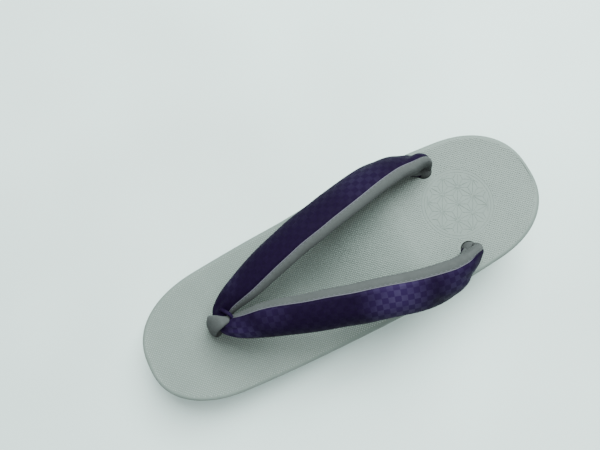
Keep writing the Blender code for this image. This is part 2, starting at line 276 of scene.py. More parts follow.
def area_sheet(
    name: str, reach: tuple[float, float], cell: float, inside: Callable[[float, float], bool]
) -> bpy.types.Object:
    """Make a flat sheet of small cells that marks an area for a grid of elements.

    Args:
        name: the object's name.
        reach: half the length and half the width that are tried.
        cell: side of a cell.
        inside: whether a cell's middle belongs to the area.

    Returns:
        The sheet, at z 0.
    """
    shape = bmesh.new()
    for column in range(-int(reach[0] / cell), int(reach[0] / cell)):
        for row in range(-int(reach[1] / cell), int(reach[1] / cell)):
            x, y = column * cell, row * cell
            if inside(x + cell / 2, y + cell / 2):
                corners = ((x, y), (x + cell, y), (x + cell, y + cell), (x, y + cell))
                shape.faces.new([shape.verts.new((a, b, 0.0)) for a, b in corners])
    return from_bmesh(name, shape)


def finish(
    piece: bpy.types.Object,
    material: bpy.types.Material,
    node: str | None = None,
    sharp: float = 40,
) -> bpy.types.Object:
    """Dress a finished piece, hang it on the body, and hide the CAD node that it stands for.

    Args:
        piece: the object, at the origin.
        material: its finish.
        node: the CAD node that it stands for.
        sharp: angle in degrees from which an edge stays sharp.

    Returns:
        The same piece.
    """
    piece.data.materials.clear()
    piece.data.materials.append(material)
    piece.data.shade_smooth()
    piece.data.set_sharp_from_angle(angle=radians(sharp))
    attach(piece, BODY)
    if node:
        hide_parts(node)
    piece.data.calc_loop_triangles()
    LOG.info("%s: %d triangles", piece.name, len(piece.data.loop_triangles))
    return piece


# Geometry Nodes: trees for pressed grids, for stitches along a seam and for ridges


class GrownTree:
    """A Geometry Nodes tree with named inputs, run once to a plain mesh."""

    def __init__(self, name: str, sockets: dict[str, str]) -> None:
        """Make the tree with its named inputs.

        Args:
            name: the tree's name.
            sockets: type of each input, by name.
        """
        self.tree = bpy.data.node_groups.new(name, "GeometryNodeTree")
        face = self.tree.interface
        face.new_socket("Geometry", in_out="INPUT", socket_type="NodeSocketGeometry")
        for label, kind in sockets.items():
            face.new_socket(label, in_out="INPUT", socket_type="NodeSocket" + kind)
        face.new_socket("Geometry", in_out="OUTPUT", socket_type="NodeSocketGeometry")
        self.start = self.tree.nodes.new("NodeGroupInput").outputs

    def close(self, instances: Any) -> None:
        """Realise the instances, give them their material and end the tree.

        Args:
            instances: the socket that carries them.
        """
        real = add_node(self.tree, "GeometryNodeRealizeInstances", {0: instances})
        feeds = {"Geometry": real.outputs[0], "Material": self.start["Material"]}
        dressed = add_node(self.tree, "GeometryNodeSetMaterial", feeds)
        add_node(self.tree, "NodeGroupOutput", {0: dressed.outputs[0]})

    def grow(self, name: str, host: bpy.types.Mesh, values: dict[str, Any]) -> bpy.types.Object:
        """Run the tree on a mesh with these inputs.

        Args:
            name: name of the piece.
            host: the mesh that the tree starts from.
            values: the named inputs.

        Returns:
            A piece with a plain mesh.
        """
        piece = link_mesh(name, host)
        modifier = piece.modifiers.new("grow", "NODES")
        modifier.node_group = self.tree
        for item in self.tree.interface.items_tree:
            if item.item_type == "SOCKET" and item.in_out == "INPUT" and item.name in values:
                modifier[item.identifier] = values[item.name]
        settle(piece)
        return piece


def pressed_grid_tree() -> GrownTree:
    """A turned grid of elements, set on a surface wherever an area sheet covers it."""
    floats = {label: "Float" for label in ("Extent", "Pitch", "Turn", "Ray", "Least", "Most")}
    objects = {label: "Object" for label in ("Surface", "Area", "Element")}
    grown = GrownTree("pressed_grid", {**floats, **objects, "Seed": "Int", "Material": "Material"})
    tree, start = grown.tree, grown.start
    count = add_node(tree, "ShaderNodeMath", {0: start["Extent"], 1: start["Pitch"]}, operation="DIVIDE")
    size = {"Size X": start["Extent"], "Size Y": start["Extent"]}
    size.update({"Vertices X": count.outputs[0], "Vertices Y": count.outputs[0]})
    grid = add_node(tree, "GeometryNodeMeshGrid", size)
    turn = add_node(tree, "ShaderNodeCombineXYZ", {"Z": start["Turn"]})
    feeds = {"Geometry": grid.outputs["Mesh"], "Rotation": turn.outputs[0]}
    turned = add_node(tree, "GeometryNodeTransform", feeds)
    lift = add_node(tree, "ShaderNodeCombineXYZ", {"Z": start["Ray"]})
    down = add_node(tree, "ShaderNodeVectorMath", {0: lift.outputs[0], "Scale": -1.0}, operation="SCALE")
    place = add_node(tree, "GeometryNodeInputPosition")
    feeds = {0: place.outputs[0], 1: (1.0, 1.0, 0.0)}
    flat = add_node(tree, "ShaderNodeVectorMath", feeds, operation="MULTIPLY")
    source = add_node(tree, "ShaderNodeVectorMath", {0: flat.outputs[0], 1: lift.outputs[0]}, operation="ADD")
    rays = []
    for label in ("Area", "Surface"):
        target = add_node(tree, "GeometryNodeObjectInfo", {"Object": start[label]})
        feeds = {"Target Geometry": target.outputs["Geometry"], "Source Position": source.outputs[0]}
        feeds.update({"Ray Direction": down.outputs[0], "Ray Length": 1.0})
        rays.append(add_node(tree, "GeometryNodeRaycast", feeds, data_type="FLOAT"))
    hits = {number: ray.outputs["Is Hit"] for number, ray in enumerate(rays)}
    missed = add_node(tree, "FunctionNodeBooleanMath", hits, operation="NAND")
    feeds = {"Geometry": turned.outputs[0], "Selection": missed.outputs[0]}
    kept = add_node(tree, "GeometryNodeDeleteGeometry", feeds, domain="POINT")
    feeds = {"Geometry": kept.outputs[0], "Position": rays[1].outputs["Hit Position"]}
    seated = add_node(tree, "GeometryNodeSetPosition", feeds)
    element = add_node(tree, "GeometryNodeObjectInfo", {"Object": start["Element"], "As Instance": True})
    feeds = {"Vector": rays[1].outputs["Hit Normal"]}
    upright = add_node(tree, "FunctionNodeAlignRotationToVector", feeds, axis="Z")
    feeds = {"Min": start["Least"], "Max": start["Most"], "Seed": start["Seed"]}
    scale = tree.nodes.new("FunctionNodeRandomValue")
    scale.data_type = "FLOAT"
    for label, socket in feeds.items():
        match = [item for item in scale.inputs if item.name == label and item.enabled]
        tree.links.new(socket, match[0])
    amount = [item for item in scale.outputs if item.enabled][0]
    feeds = {"Points": seated.outputs[0], "Instance": element.outputs["Geometry"]}
    feeds.update({"Rotation": upright.outputs[0], "Scale": amount})
    placed = add_node(tree, "GeometryNodeInstanceOnPoints", feeds)
    grown.close(placed.outputs[0])
    return grown


def seam_tree() -> GrownTree:
    """Elements at even steps along a line of edges, each laid along the line."""
    grown = GrownTree("seam_stitches", {"Pitch": "Float", "Element": "Object", "Material": "Material"})
    tree, start = grown.tree, grown.start
    curve = add_node(tree, "GeometryNodeMeshToCurve", {"Mesh": start["Geometry"]})
    feeds = {"Curve": curve.outputs[0], "Length": start["Pitch"]}
    steps = add_node(tree, "GeometryNodeResampleCurve", feeds, mode="LENGTH")
    along = add_node(tree, "GeometryNodeInputTangent")
    laid = add_node(tree, "FunctionNodeAlignRotationToVector", {"Vector": along.outputs[0]}, axis="X")
    element = add_node(tree, "GeometryNodeObjectInfo", {"Object": start["Element"], "As Instance": True})
    feeds = {"Points": steps.outputs[0], "Instance": element.outputs["Geometry"], "Rotation": laid.outputs[0]}
    placed = add_node(tree, "GeometryNodeInstanceOnPoints", feeds)
    grown.close(placed.outputs[0])
    return grown


def ridge_tree() -> GrownTree:
    """Low round ridges along lines of edges."""
    grown = GrownTree("pressed_ridges", {"Ridge": "Float", "Material": "Material"})
    tree, start = grown.tree, grown.start
    curve = add_node(tree, "GeometryNodeMeshToCurve", {"Mesh": start["Geometry"]})
    section = add_node(tree, "GeometryNodeCurvePrimitiveCircle", {"Resolution": 6, "Radius": start["Ridge"]})
    feeds = {"Curve": curve.outputs[0], "Profile Curve": section.outputs[0], "Fill Caps": True}
    tube = add_node(tree, "GeometryNodeCurveToMesh", feeds)
    grown.close(tube.outputs[0])
    return grown


# Finishes


class Surface:
    """A new material with its tree, its shader and the coordinates it reads."""

    def __init__(self, name: str, roughness: float) -> None:
        """Make the material.

        Args:
            name: the real material and how it was made.
            roughness: the shader's roughness, where nothing feeds it.
        """
        self.material = bpy.data.materials.new(name)
        self.material.use_nodes = True
        self.tree = self.material.node_tree
        self.shader = self.tree.nodes["Principled BSDF"]
        self.shader.inputs["Roughness"].default_value = roughness
        self.where = self.node("ShaderNodeTexCoord").outputs["Object"]

    def node(self, kind: str, feeds: dict | None = None, **settings: Any) -> Any:
        """Add a node to this material's tree."""
        return add_node(self.tree, kind, feeds, **settings)

    def math(self, operation: str, first: Any, second: Any = 0.0) -> Any:
        """Output of one step of arithmetic."""
        return self.node("ShaderNodeMath", {0: first, 1: second}, operation=operation).outputs[0]

    def grain(self, size: float, detail: float = 2.0, where: Any = None, distortion: float = 0.0) -> Any:
        """Noise whose blotches are about this size.

        Args:
            size: width of a blotch.
            detail: finer octaves.
            where: coordinates, in metres; the object's own if left out.
            distortion: how far the blotches are drawn out of shape.

        Returns:
            The noise, about 0.2 to 0.8.
        """
        feeds = {"Vector": where or self.where, "Scale": 1.0 / size}
        feeds.update({"Detail": detail, "Distortion": distortion})
        return self.node("ShaderNodeTexNoise", feeds, noise_dimensions="3D").outputs[0]

    def between(self, amount: Any, low: float, high: float) -> Any:
        """Spread a noise of 0.25 to 0.75 over low to high."""
        feeds = {"Value": amount, "From Min": 0.25, "From Max": 0.75, "To Min": low, "To Max": high}
        return self.node("ShaderNodeMapRange", feeds).outputs[0]

    def blend(self, amount: Any, first: Any, second: Any) -> Any:
        """Mix two colours."""
        feeds = {0: amount, 6: first, 7: second}
        return self.node("ShaderNodeMix", feeds, data_type="RGBA").outputs[2]

    def bump(self, height: Any, depth: float, under: Any = None) -> Any:
        """Turn a height of 0 to 1 into a normal.

        Args:
            height: the height.
            depth: what 1 stands for, in metres.
            under: a normal that this one comes on top of.

        Returns:
            The normal.
        """
        feeds = {"Height": height, "Distance": depth, "Strength": 1.0}
        if under is not None:
            feeds["Normal"] = under
        return self.node("ShaderNodeBump", feeds).outputs[0]

    def feed(self, **sockets: Any) -> None:
        """Link or set the shader's inputs, with _ for a space in their names."""
        for label, value in sockets.items():
            socket = self.shader.inputs[label.replace("_", " ")]
            if isinstance(value, bpy.types.NodeSocket):
                self.tree.links.new(value, socket)
            else:
                socket.default_value = value


@dataclass(frozen=True)
class PressedFoam:
    """EVA foam sheet, pressed hot against a textured plate.

    The eye gets a matt, slightly green grey with a faint broad sheen, a skin of
    fine pores, and cloudy patches where the press ran hotter.
    """

    name: str = "eva_foam_hot_pressed"
    colour: str = "#737F7A"
    cloud: str = "#6B7772"
    roughness: tuple[float, float] = (0.50, 0.64)
    patch: float = 34 * MM
    pore: float = 0.45 * MM
    pore_depth: float = 0.03 * MM

    def build(self) -> bpy.types.Material:
        """Make the material."""
        surface = Surface(self.name, self.roughness[1])
        cloudy = surface.between(surface.grain(self.patch, 3.0), 0.0, 1.0)
        pores = surface.grain(self.pore, 2.0)
        low, high = self.roughness
        surface.feed(
            Base_Color=surface.blend(cloudy, linear(self.colour), linear(self.cloud)),
            Roughness=surface.between(pores, low, high),
            Normal=surface.bump(pores, self.pore_depth),
            Specular_IOR_Level=0.4,
            IOR=1.48,
        )
        return surface.material


@dataclass(frozen=True)
class MouldedFoam:
    """EVA foam, expanded in a mould, with the skin that the mould leaves.

    The eye gets a smoother and slightly lighter grey than the footbed, with a
    soft gloss along its curves and a trace of flow in its colour.
    """

    colour: str = "#96A29C"
    flow: str = "#8B9791"
    roughness: tuple[float, float] = (0.42, 0.56)
    streak: float = 9 * MM
    skin: float = 0.9 * MM
    skin_depth: float = 0.025 * MM

    def build(self) -> bpy.types.Material:
        """Make the material."""
        surface = Surface("eva_foam_moulded", self.roughness[1])
        stretched = surface.node("ShaderNodeMapping", {"Vector": surface.where, "Scale": (0.25, 0.25, 1.0)})
        flow = surface.between(surface.grain(self.streak, 2.0, stretched.outputs[0], 0.6), 0.0, 1.0)
        skin_grain = surface.grain(self.skin, 3.0)
        low, high = self.roughness
        surface.feed(
            Base_Color=surface.blend(flow, linear(self.colour), linear(self.flow)),
            Roughness=surface.between(skin_grain, low, high),
            Normal=surface.bump(skin_grain, self.skin_depth),
            IOR=1.48,
        )
        return surface.material


@dataclass(frozen=True)
class MouldedRubber:
    """Vulcanised rubber, moulded as a thin sheet.

    The eye gets a dull dark grey, faintly bloomed, with a fine spark erosion
    grain from the mould.
    """

    colour: str = "#4A4C4C"
    bloom: str = "#5B5E5D"
    roughness: tuple[float, float] = (0.66, 0.86)
    patch: float = 12 * MM
    erosion: float = 0.35 * MM
    erosion_depth: float = 0.04 * MM

    def build(self) -> bpy.types.Material:
        """Make the material."""
        surface = Surface("rubber_vulcanised", self.roughness[1])
        bloomed = surface.between(surface.grain(self.patch, 4.0), 0.0, 1.0)
        grit = surface.grain(self.erosion, 1.0)
        low, high = self.roughness
        surface.feed(
            Base_Color=surface.blend(bloomed, linear(self.colour), linear(self.bloom)),
            Roughness=surface.between(grit, low, high),
            Normal=surface.bump(grit, self.erosion_depth),
            IOR=1.52,
        )
        return surface.material


@dataclass(frozen=True)
class CheckedJacquard:
    """Rayon jacquard, woven in two tones of purple with a small check.

    Satin and plain weave alternate from square to square. The paler squares,
    and the paler bloom colour in the ground, are painted sheen where light
    catches the satin: strong in the listed patches, faint elsewhere, broken up
    by noise. The threads are drawn at 0.5 mm, about twice as coarse as real
    ones, to show.
    """

    ground: str = "#150A24"
    dark: str = "#10081B"
    # Paler purple mixed into the ground within the patches: painted sheen.
    bloom: str = "#2A1D42"
    square_tone: str = "#4A4260"
    square: float = 3.2 * MM
    thread: float = 0.5 * MM
    thread_depth: float = 0.045 * MM
    # Painted sheen: run, across, reach and level on the chart of each stretch where light catches the satin.
    patches: tuple[tuple[float, float, float, float], ...] = (
        (98 * MM, 1.0 * MM, 25 * MM, 1.0),
        (14 * MM, -5.5 * MM, 17 * MM, 0.70),
        (34 * MM, 4.0 * MM, 16 * MM, 0.30),
        (130 * MM, 3.0 * MM, 18 * MM, 0.50),
        (-110 * MM, 2.0 * MM, 26 * MM, 0.20),
        (-22 * MM, -5.0 * MM, 12 * MM, 0.20),
    )
    slub: float = 1.4 * MM
    sheen_blotch: float = 8 * MM
    faint: float = 0.05
    check: float = 0.46
    satin: float = 0.56
    plain: float = 0.62

    def build(self) -> bpy.types.Material:
        """Make the material."""
        surface = Surface("rayon_jacquard_check", self.plain)
        chart = surface.node("ShaderNodeUVMap", uv_map=CHART_NAME).outputs[0]
        axes = surface.node("ShaderNodeSeparateXYZ", {0: chart}).outputs
        counts = [surface.math("FLOOR", surface.math("DIVIDE", axes[n], self.square)) for n in (0, 1)]
        odd = surface.math("ABSOLUTE", surface.math("MODULO", surface.math("ADD", *counts), 2.0))
        # Painted sheen: within the patches the ground turns towards the bloom colour and the satin squares
        # turn paler; the faint share shows the woven check everywhere.
        strength = self.faint
        for run, across, reach, level in self.patches:
            feeds = {0: chart, 1: (run, across, 0.0)}
            away = surface.node("ShaderNodeVectorMath", feeds, operation="DISTANCE")
            feeds = {"Value": away.outputs["Value"], "From Max": reach, "To Min": level, "To Max": 0.0}
            patch = surface.node("ShaderNodeMapRange", feeds, interpolation_type="SMOOTHSTEP")
            strength = surface.math("MAXIMUM", patch.outputs[0], strength)
        slub = surface.grain(self.slub, 3.0, chart, 0.4)
        ground = surface.blend(surface.between(slub, 0.0, 1.0), linear(self.dark), linear(self.ground))
        ground = surface.blend(strength, ground, linear(self.bloom))
        sheen_breakup = surface.between(surface.grain(self.sheen_blotch, 2.0, chart, 0.5), 0.25, 1.0)
        shown = surface.math("MULTIPLY", strength, sheen_breakup)
        lit = surface.math("MULTIPLY", shown, surface.math("MULTIPLY", odd, self.check))
        ribs = []
        for axis in (0, 1):
            turn = surface.math("MULTIPLY", axes[axis], 2 * pi / self.thread)
            ribs.append(surface.math("MULTIPLY_ADD", surface.math("SINE", turn), 0.5))
            ribs[-1].node.inputs[2].default_value = 0.5
        feeds = {0: odd, 2: ribs[0], 3: ribs[1]}
        weave = surface.node("ShaderNodeMix", feeds, data_type="FLOAT").outputs[0]
        rough = surface.node("ShaderNodeMapRange", {"Value": odd, "To Min": self.plain, "To Max": self.satin})
        surface.feed(
            Base_Color=surface.blend(lit, ground, linear(self.square_tone)),
            Roughness=rough.outputs[0],
            Normal=surface.bump(weave, self.thread_depth, surface.bump(slub, self.thread_depth)),
            Specular_IOR_Level=0.04,
            IOR=1.40,
        )
        return surface.material


@dataclass(frozen=True)
class Velour:
    """Polyester velour, knitted and sheared to a short pile.

    The eye gets a soft neutral grey with no gloss, paler where the pile is seen
    edge on, and clouded where it has been brushed one way or the other.
    """

    colour: str = "#4C5050"
    brushed: str = "#434646"
    pile: float = 0.55 * MM
    pile_depth: float = 0.16 * MM
    brush: float = 5 * MM
    stroke_share: float = 0.55
    speck_share: float = 0.45
    roughness: float = 0.95

    def build(self) -> bpy.types.Material:
        """Make the material."""
        surface = Surface("polyester_velour_sheared", self.roughness)
        strokes = surface.between(surface.grain(self.brush, 3.0, None, 1.2), 0.0, 1.0)
        tufts = surface.grain(self.pile, 3.0)
        speck = surface.math("MULTIPLY", surface.between(tufts, 0.0, 1.0), self.speck_share)
        mixed = surface.math("MULTIPLY_ADD", strokes, self.stroke_share)
        surface.tree.links.new(speck, mixed.node.inputs[2])
        surface.feed(
            Base_Color=surface.blend(mixed, linear(self.colour), linear(self.brushed)),
            Normal=surface.bump(tufts, self.pile_depth),
            Specular_IOR_Level=0.2,
            Sheen_Weight=0.06,
            Sheen_Roughness=0.40,
            Sheen_Tint=linear("#D8DADF"),
            IOR=1.50,
        )
        return surface.material


@dataclass(frozen=True)
class SpunThread:
    """Spun polyester sewing thread. The eye gets fine dull grey dashes, twisted."""

    colour: str = "#5E5E69"
    dark: str = "#52525C"
    twist: float = 0.3 * MM
    twist_depth: float = 0.05 * MM

    def build(self) -> bpy.types.Material:
        """Make the material."""
        surface = Surface("polyester_thread_spun", 0.7)
        twisted = surface.grain(self.twist, 1.0, None, 2.0)
        shade = surface.blend(surface.between(twisted, 0.0, 1.0), linear(self.colour), linear(self.dark))
        surface.feed(Base_Color=shade, Normal=surface.bump(twisted, self.twist_depth), IOR=1.50)
        return surface.material


@dataclass(frozen=True)
class PaintedBoard:
    """Matt painted board, for the floor. The eye gets a pale, faintly green white."""

    colour: str = "#E8FCF9"
    shade: str = "#D3E3E0"
    cloud: float = 0.22
    grain: float = 1.2 * MM
    grain_depth: float = 0.02 * MM

    def build(self) -> bpy.types.Material:
        """Make the material."""
        surface = Surface("floor_board_painted", 0.75)
        cloudy = surface.between(surface.grain(self.cloud, 2.0), 0.0, 1.0)
        colour = surface.blend(cloudy, linear(self.colour), linear(self.shade))
        surface.feed(Base_Color=colour, Normal=surface.bump(surface.grain(self.grain), self.grain_depth))
        return surface.material


# Sole


@dataclass(frozen=True)
class SoleForm:
    """The sole's outline and side profile, with the part's own sizes."""

    length: float = 0.245
    waist_width: float = 0.083
    toe_width: float = 0.0773
    heel_width: float = 0.0752
    toe_round: float = 0.0475
    heel_round: float = 0.0415
    end_power: float = 2.5
    heel_height: float = 0.047
    ball_height: float = 0.028
    toe_height: float = 0.033
    toe_spring: float = 0.009
    arch_rise: float = 0.0022
    footbed_thick: float = 0.008
    outsole_thick: float = 0.0035
    dish: float = 0.0012
    wall_taper: float = 0.0042
    wall_step: float = 0.0007
    wedge: tuple[float, float] = (0.31, 0.60)
    spring_from: float = 0.73
    arch: tuple[float, float] = (0.34, 0.56)
    toe_hole: tuple[float, float] = (0.0790, 0.0)
    rear_hole: tuple[float, float] = (-0.0700, 0.0252)
    clearance: float = 0.0003
    stations: int = 190

    def share(self, x: float) -> float:
        """Return 0 at the heel tip and 1 at the toe tip."""
        return x / self.length + 0.5

    def half_width(self, x: float) -> float:
        """Half width of the footbed's outline.

        Args:
            x: place along the sole.

        Returns:
            The half width there: full at the waist, and 0 at both tips.
        """
        if x > 0:
            rounding, end_width = self.toe_round, self.toe_width
        else:
            rounding, end_width = self.heel_round, self.heel_width
        straight = self.length / 2 - rounding
        side = self.waist_width - (self.waist_width - end_width) * (x / straight) ** 2
        past = min(max((abs(x) - straight) / rounding, 0.0), 1.0)
        return side / 2 * (1.0 - past ** self.end_power) ** (1.0 / self.end_power)

    def spring(self, x: float) -> float:
        """Share of the lift towards the toe tip."""
        return (max(self.share(x) - self.spring_from, 0.0) / (1.0 - self.spring_from)) ** 2

    def top(self, x: float) -> float:
        """Height of the footbed's edge.

        Args:
            x: place along the sole.

        Returns:
            The height there: high heel, level ball, lifted toe.
        """
        heel = 1.0 - smooth_ramp(self.share(x), *self.wedge)
        rise = (self.heel_height - self.ball_height) * heel
        return self.ball_height + rise + (self.toe_height - self.ball_height) * self.spring(x)

    def bottom(self, x: float) -> float:
        """Height of the sole's bottom face.

        Args:
            x: place along the sole.

        Returns:
            The height there: flat pads, a low arch and toe spring.
        """
        share = self.share(x)
        middle = sum(self.arch) / 2
        if share < middle:
            lift = smooth_ramp(share, self.arch[0], middle)
        else:
            lift = 1.0 - smooth_ramp(share, middle, self.arch[1])
        return self.arch_rise * lift + self.toe_spring * self.spring(x)

    def dished(self, x: float, share: float) -> float:
        """Height of the footbed's top face at a share of its half width."""
        hollow = self.dish * (1.0 - share * share) * self.half_width(x) / (self.waist_width / 2)
        return self.top(x) - hollow

    def surface(self, x: float, y: float) -> float:
        """Height of the footbed's top face at a place."""
        return self.dished(x, y / max(self.half_width(x), MM))

    def underside(self, x: float) -> float:
        """Height of the face where the footbed sits on the wedge."""
        return self.top(x) - self.footbed_thick

    def inside(self, x: float, y: float, inset: float) -> bool:
        """Whether a place lies within the outline.

        Args:
            x: place along the sole.
            y: place across it.
            inset: how far the outline is drawn in.

        Returns:
            True inside.
        """
        scale = 1.0 - inset / (self.length / 2)
        if abs(x) >= self.length / 2 * scale:
            return False
        return abs(y) < self.half_width(x / scale) * (1.0 - inset / (self.waist_width / 2))

    def rings(self, levels: Sequence[Level]) -> list[list[Vector]]:
        """Closed sections of one layer of the sole.

        Args:
            levels: (share of the half width, inset, height at x), from the bottom
                middle round one side to the top middle.

        Returns:
            The rings, from heel to toe.
        """
        rings = []
        for step in range(self.stations + 1):
            x = -self.length / 2 * cos(pi * step / self.stations)
            half = []
            for share, inset, height in levels:
                place = x * (1.0 - inset / (self.length / 2))
                reach = self.half_width(x) * (1.0 - inset / (self.waist_width / 2))
                half.append(Vector((place, share * reach, height(place))))
            other = [Vector((p.x, -p.y, p.z)) for p in reversed(half[1:-1])]
            rings.append(half + other)
        return rings

    def layer(self, name: str, levels: Sequence[Level]) -> bpy.types.Object:
        """Loft one layer of the sole.

        Args:
            name: the object's name.
            levels: as for rings.

        Returns:
            The layer, closed.
        """
        shape = bmesh.new()
        skin(shape, self.rings(levels))
        weld(shape)
        bmesh.ops.dissolve_degenerate(shape, edges=shape.edges, dist=1e-7)
        return from_bmesh(name, shape)


@dataclass
class Footbed:
    """The top board: dished, round at its edge, pressed all over with small lozenges."""

    sole: SoleForm
    foam: bpy.types.Material
    # Lighter foam of the lozenges: painted highlight on their raised tops.
    painted_highlight_crest: bpy.types.Material
    grid: GrownTree
    ridges: GrownTree
    edge: float = 0.0020
    edge_steps: int = 9
    top_steps: int = 26
    hole_sides: int = 72
    toe_hole_radius: float = 0.0034
    rear_hole_radius: float = 0.0046
    lozenge: tuple[float, float] = (1.34 * MM, 1.02 * MM)
    lozenge_top: float = 0.46
    lozenge_height: float = 0.40 * MM
    lozenge_pitch: float = 1.15 * MM
    lozenge_inset: float = 2.3 * MM
    lozenge_sizes: tuple[float, float] = (0.93, 1.04)
    lozenge_seed: int = 7
    roundel_centre: tuple[float, float] = (-0.0775, 0.0)
    roundel_radius: float = 20.5 * MM
    ring_inset: float = 0.6 * MM
    ring_gap: float = 2.2 * MM
    ring_steps: int = 120
    leaf_gap: float = 1.2 * MM
    leaf_side: float = 9.6 * MM
    leaf_steps: int = 24
    ridge: float = 0.34 * MM
    ridge_sink: float = 0.45

    def build(self) -> None:
        """Build the board, its pressed lozenges and the roundel at the heel."""
        board = self.board()
        self.lozenges(board)
        self.roundel()

    def board(self) -> bpy.types.Object:
        """The board itself, with its three holes.

        Returns:
            The piece, dressed.
        """
        sole = self.sole
        seat = sole.wall_step
        levels = [(share, seat, sole.underside) for share in even(0.0, 1.0, 6)]
        levels.append((1.0, 0.0, lambda x: sole.underside(x) + sole.wall_step))
        for step in range(self.edge_steps + 1):
            turn = radians(90 * step / self.edge_steps)
            inset = self.edge * (1.0 - cos(turn))
            drop = self.edge * (1.0 - sin(turn))
            levels.append((1.0, inset, lambda x, drop=drop: sole.top(x) - drop))
        for share in even(0.97, 0.0, self.top_steps):
            levels.append((share, self.edge, lambda x, share=share: sole.dished(x, share)))
        board = sole.layer("footbed_board", levels)
        holes = [(sole.toe_hole, self.toe_hole_radius)]
        for side in (1, -1):
            holes.append(((sole.rear_hole[0], side * sole.rear_hole[1]), self.rear_hole_radius))
        carve(board, [self.drill(place, radius) for place, radius in holes])
        return finish(board, self.foam, "footbed", 55)

    def drill(self, place: tuple[float, float], radius: float) -> bpy.types.Object:
        """A cylinder that goes right through the board.

        Args:
            place: the hole's middle.
            radius: the hole's.

        Returns:
            The cutter.
        """
        shape = bmesh.new()
        deep = self.sole.footbed_thick * 4
        bmesh.ops.create_cone(
            shape, cap_ends=True, segments=self.hole_sides, radius1=radius, radius2=radius, depth=deep
        )
        middle = Vector((*place, self.sole.top(place[0])))
        bmesh.ops.translate(shape, verts=shape.verts, vec=middle)
        return from_bmesh("drill", shape)

    def clear_of_marks(self, x: float, y: float) -> bool:
        """Whether a place may have a lozenge.

        Args:
            x: place along the sole.
            y: place across it.

        Returns:
            True away from the edge, the holes and the roundel.
        """
        sole = self.sole
        if not sole.inside(x, y, self.lozenge_inset):
            return False
        if hypot(x - sole.toe_hole[0], y) < self.toe_hole_radius + MM:
            return False
        if hypot(x - sole.rear_hole[0], abs(y) - sole.rear_hole[1]) < self.rear_hole_radius + MM:
            return False
        return hypot(x - self.roundel_centre[0], y - self.roundel_centre[1]) > self.roundel_radius

    def lozenge_element(self) -> bpy.types.Object:
        """One low lozenge with sloping sides.

        Returns:
            The element, with its foot below the surface.
        """
        shape = bmesh.new()
        rows = []
        for size, height in ((1.0, -0.5), (self.lozenge_top, 1.0)):
            long, short = (side / 2 * size for side in self.lozenge)
            z = height * self.lozenge_height
            rows.append([Vector(p) for p in ((long, 0, z), (0, short, z), (-long, 0, z), (0, -short, z))])
        skin(shape, rows, caps=(0, -1))
        weld(shape)
        return from_bmesh("lozenge", shape)

    def lozenges(self, board: bpy.types.Object) -> None:
        """Set the lozenges over the board's top face.

        Args:
            board: what they sit on.
        """
        reach = (self.sole.length / 2, self.sole.waist_width / 2 + MM)
        area = area_sheet("lozenge_area", reach, MM, self.clear_of_marks)
        element = self.lozenge_element()
        least, most = self.lozenge_sizes
        values = {"Extent": GRID_EXTENT, "Pitch": self.lozenge_pitch}
        values.update({"Turn": radians(GRID_TURN), "Ray": RAY_LENGTH})
        values.update({"Least": least, "Most": most, "Seed": self.lozenge_seed, "Material": self.painted_highlight_crest})
        values.update({"Surface": board, "Area": area, "Element": element})
        host = bpy.data.meshes.new("footbed_lozenges")
        piece = self.grid.grow("footbed_lozenges", host, values)
        for helper in (area, element):
            bpy.data.objects.remove(helper, do_unlink=True)
        finish(piece, self.painted_highlight_crest, None, 30)

    def roundel_lines(self) -> list[tuple[tuple[float, float], tuple[float, float]]]:
        """Straight lines of a hemp leaf ornament, cut off at the inner ring.

        Returns:
            Ends of each line, from the roundel's centre.
        """
        side = self.leaf_side
        inner = self.roundel_radius - self.ring_gap - self.leaf_gap
        along, slant = Vector((side, 0.0)), Vector((side / 2, side * sqrt(3) / 2))
        lines = []
        for a in range(-4, 5):
            for b in range(-4, 5):
                here = along * a + slant * b
                for second, third in ((along, slant), (slant, slant - along)):
                    corners = (here, here + second, here + third)
                    middle = (corners[0] + corners[1] + corners[2]) / 3
                    lines += [(middle, corner) for corner in corners]
                    lines.append((corners[0], corners[1]))
                lines.append((here + along, here + slant))
        kept = []
        for start, end in lines:
            tries = [start.lerp(end, t) for t in even(0.0, 1.0, self.leaf_steps)]
            inside = [point for point in tries if point.length < inner]
            if len(inside) > 3:
                kept.append((tuple(inside[0]), tuple(inside[-1])))
        return kept

    def roundel(self) -> None:
        """Press a hemp leaf roundel, a common old pattern, into the heel."""
        shape = bmesh.new()
        cx, cy = self.roundel_centre

        def add_line(points: Sequence[tuple[float, float]], ring: bool) -> None:
            """Lay a line on the board's top face.

            Args:
                points: its points, from the roundel's centre.
                ring: whether its ends join.
            """
            places = [(cx + x, cy + y) for x, y in points]
            sunk = self.ridge * self.ridge_sink
            verts = [shape.verts.new((x, y, self.sole.surface(x, y) - sunk)) for x, y in places]
            pairs = list(zip(verts, verts[1:]))
            if ring:
                pairs.append((verts[-1], verts[0]))
            for pair in pairs:
                shape.edges.new(pair)

        for gap in (self.ring_inset, self.ring_gap):
            radius = self.roundel_radius - gap
            turns = even(0, 2 * pi, self.ring_steps)[:-1]
            add_line([(radius * cos(a), radius * sin(a)) for a in turns], True)
        for (ax, ay), (bx, by) in self.roundel_lines():
            steps = max(2, round(hypot(bx - ax, by - ay) / (2 * MM)))
            add_line([(ax + (bx - ax) * t, ay + (by - ay) * t) for t in even(0.0, 1.0, steps)], False)
        mesh = bpy.data.meshes.new("heel_roundel")
        shape.to_mesh(mesh)
        shape.free()
        piece = self.ridges.grow("heel_roundel", mesh, {"Ridge": self.ridge, "Material": self.foam})
        finish(piece, self.foam, None, 60)


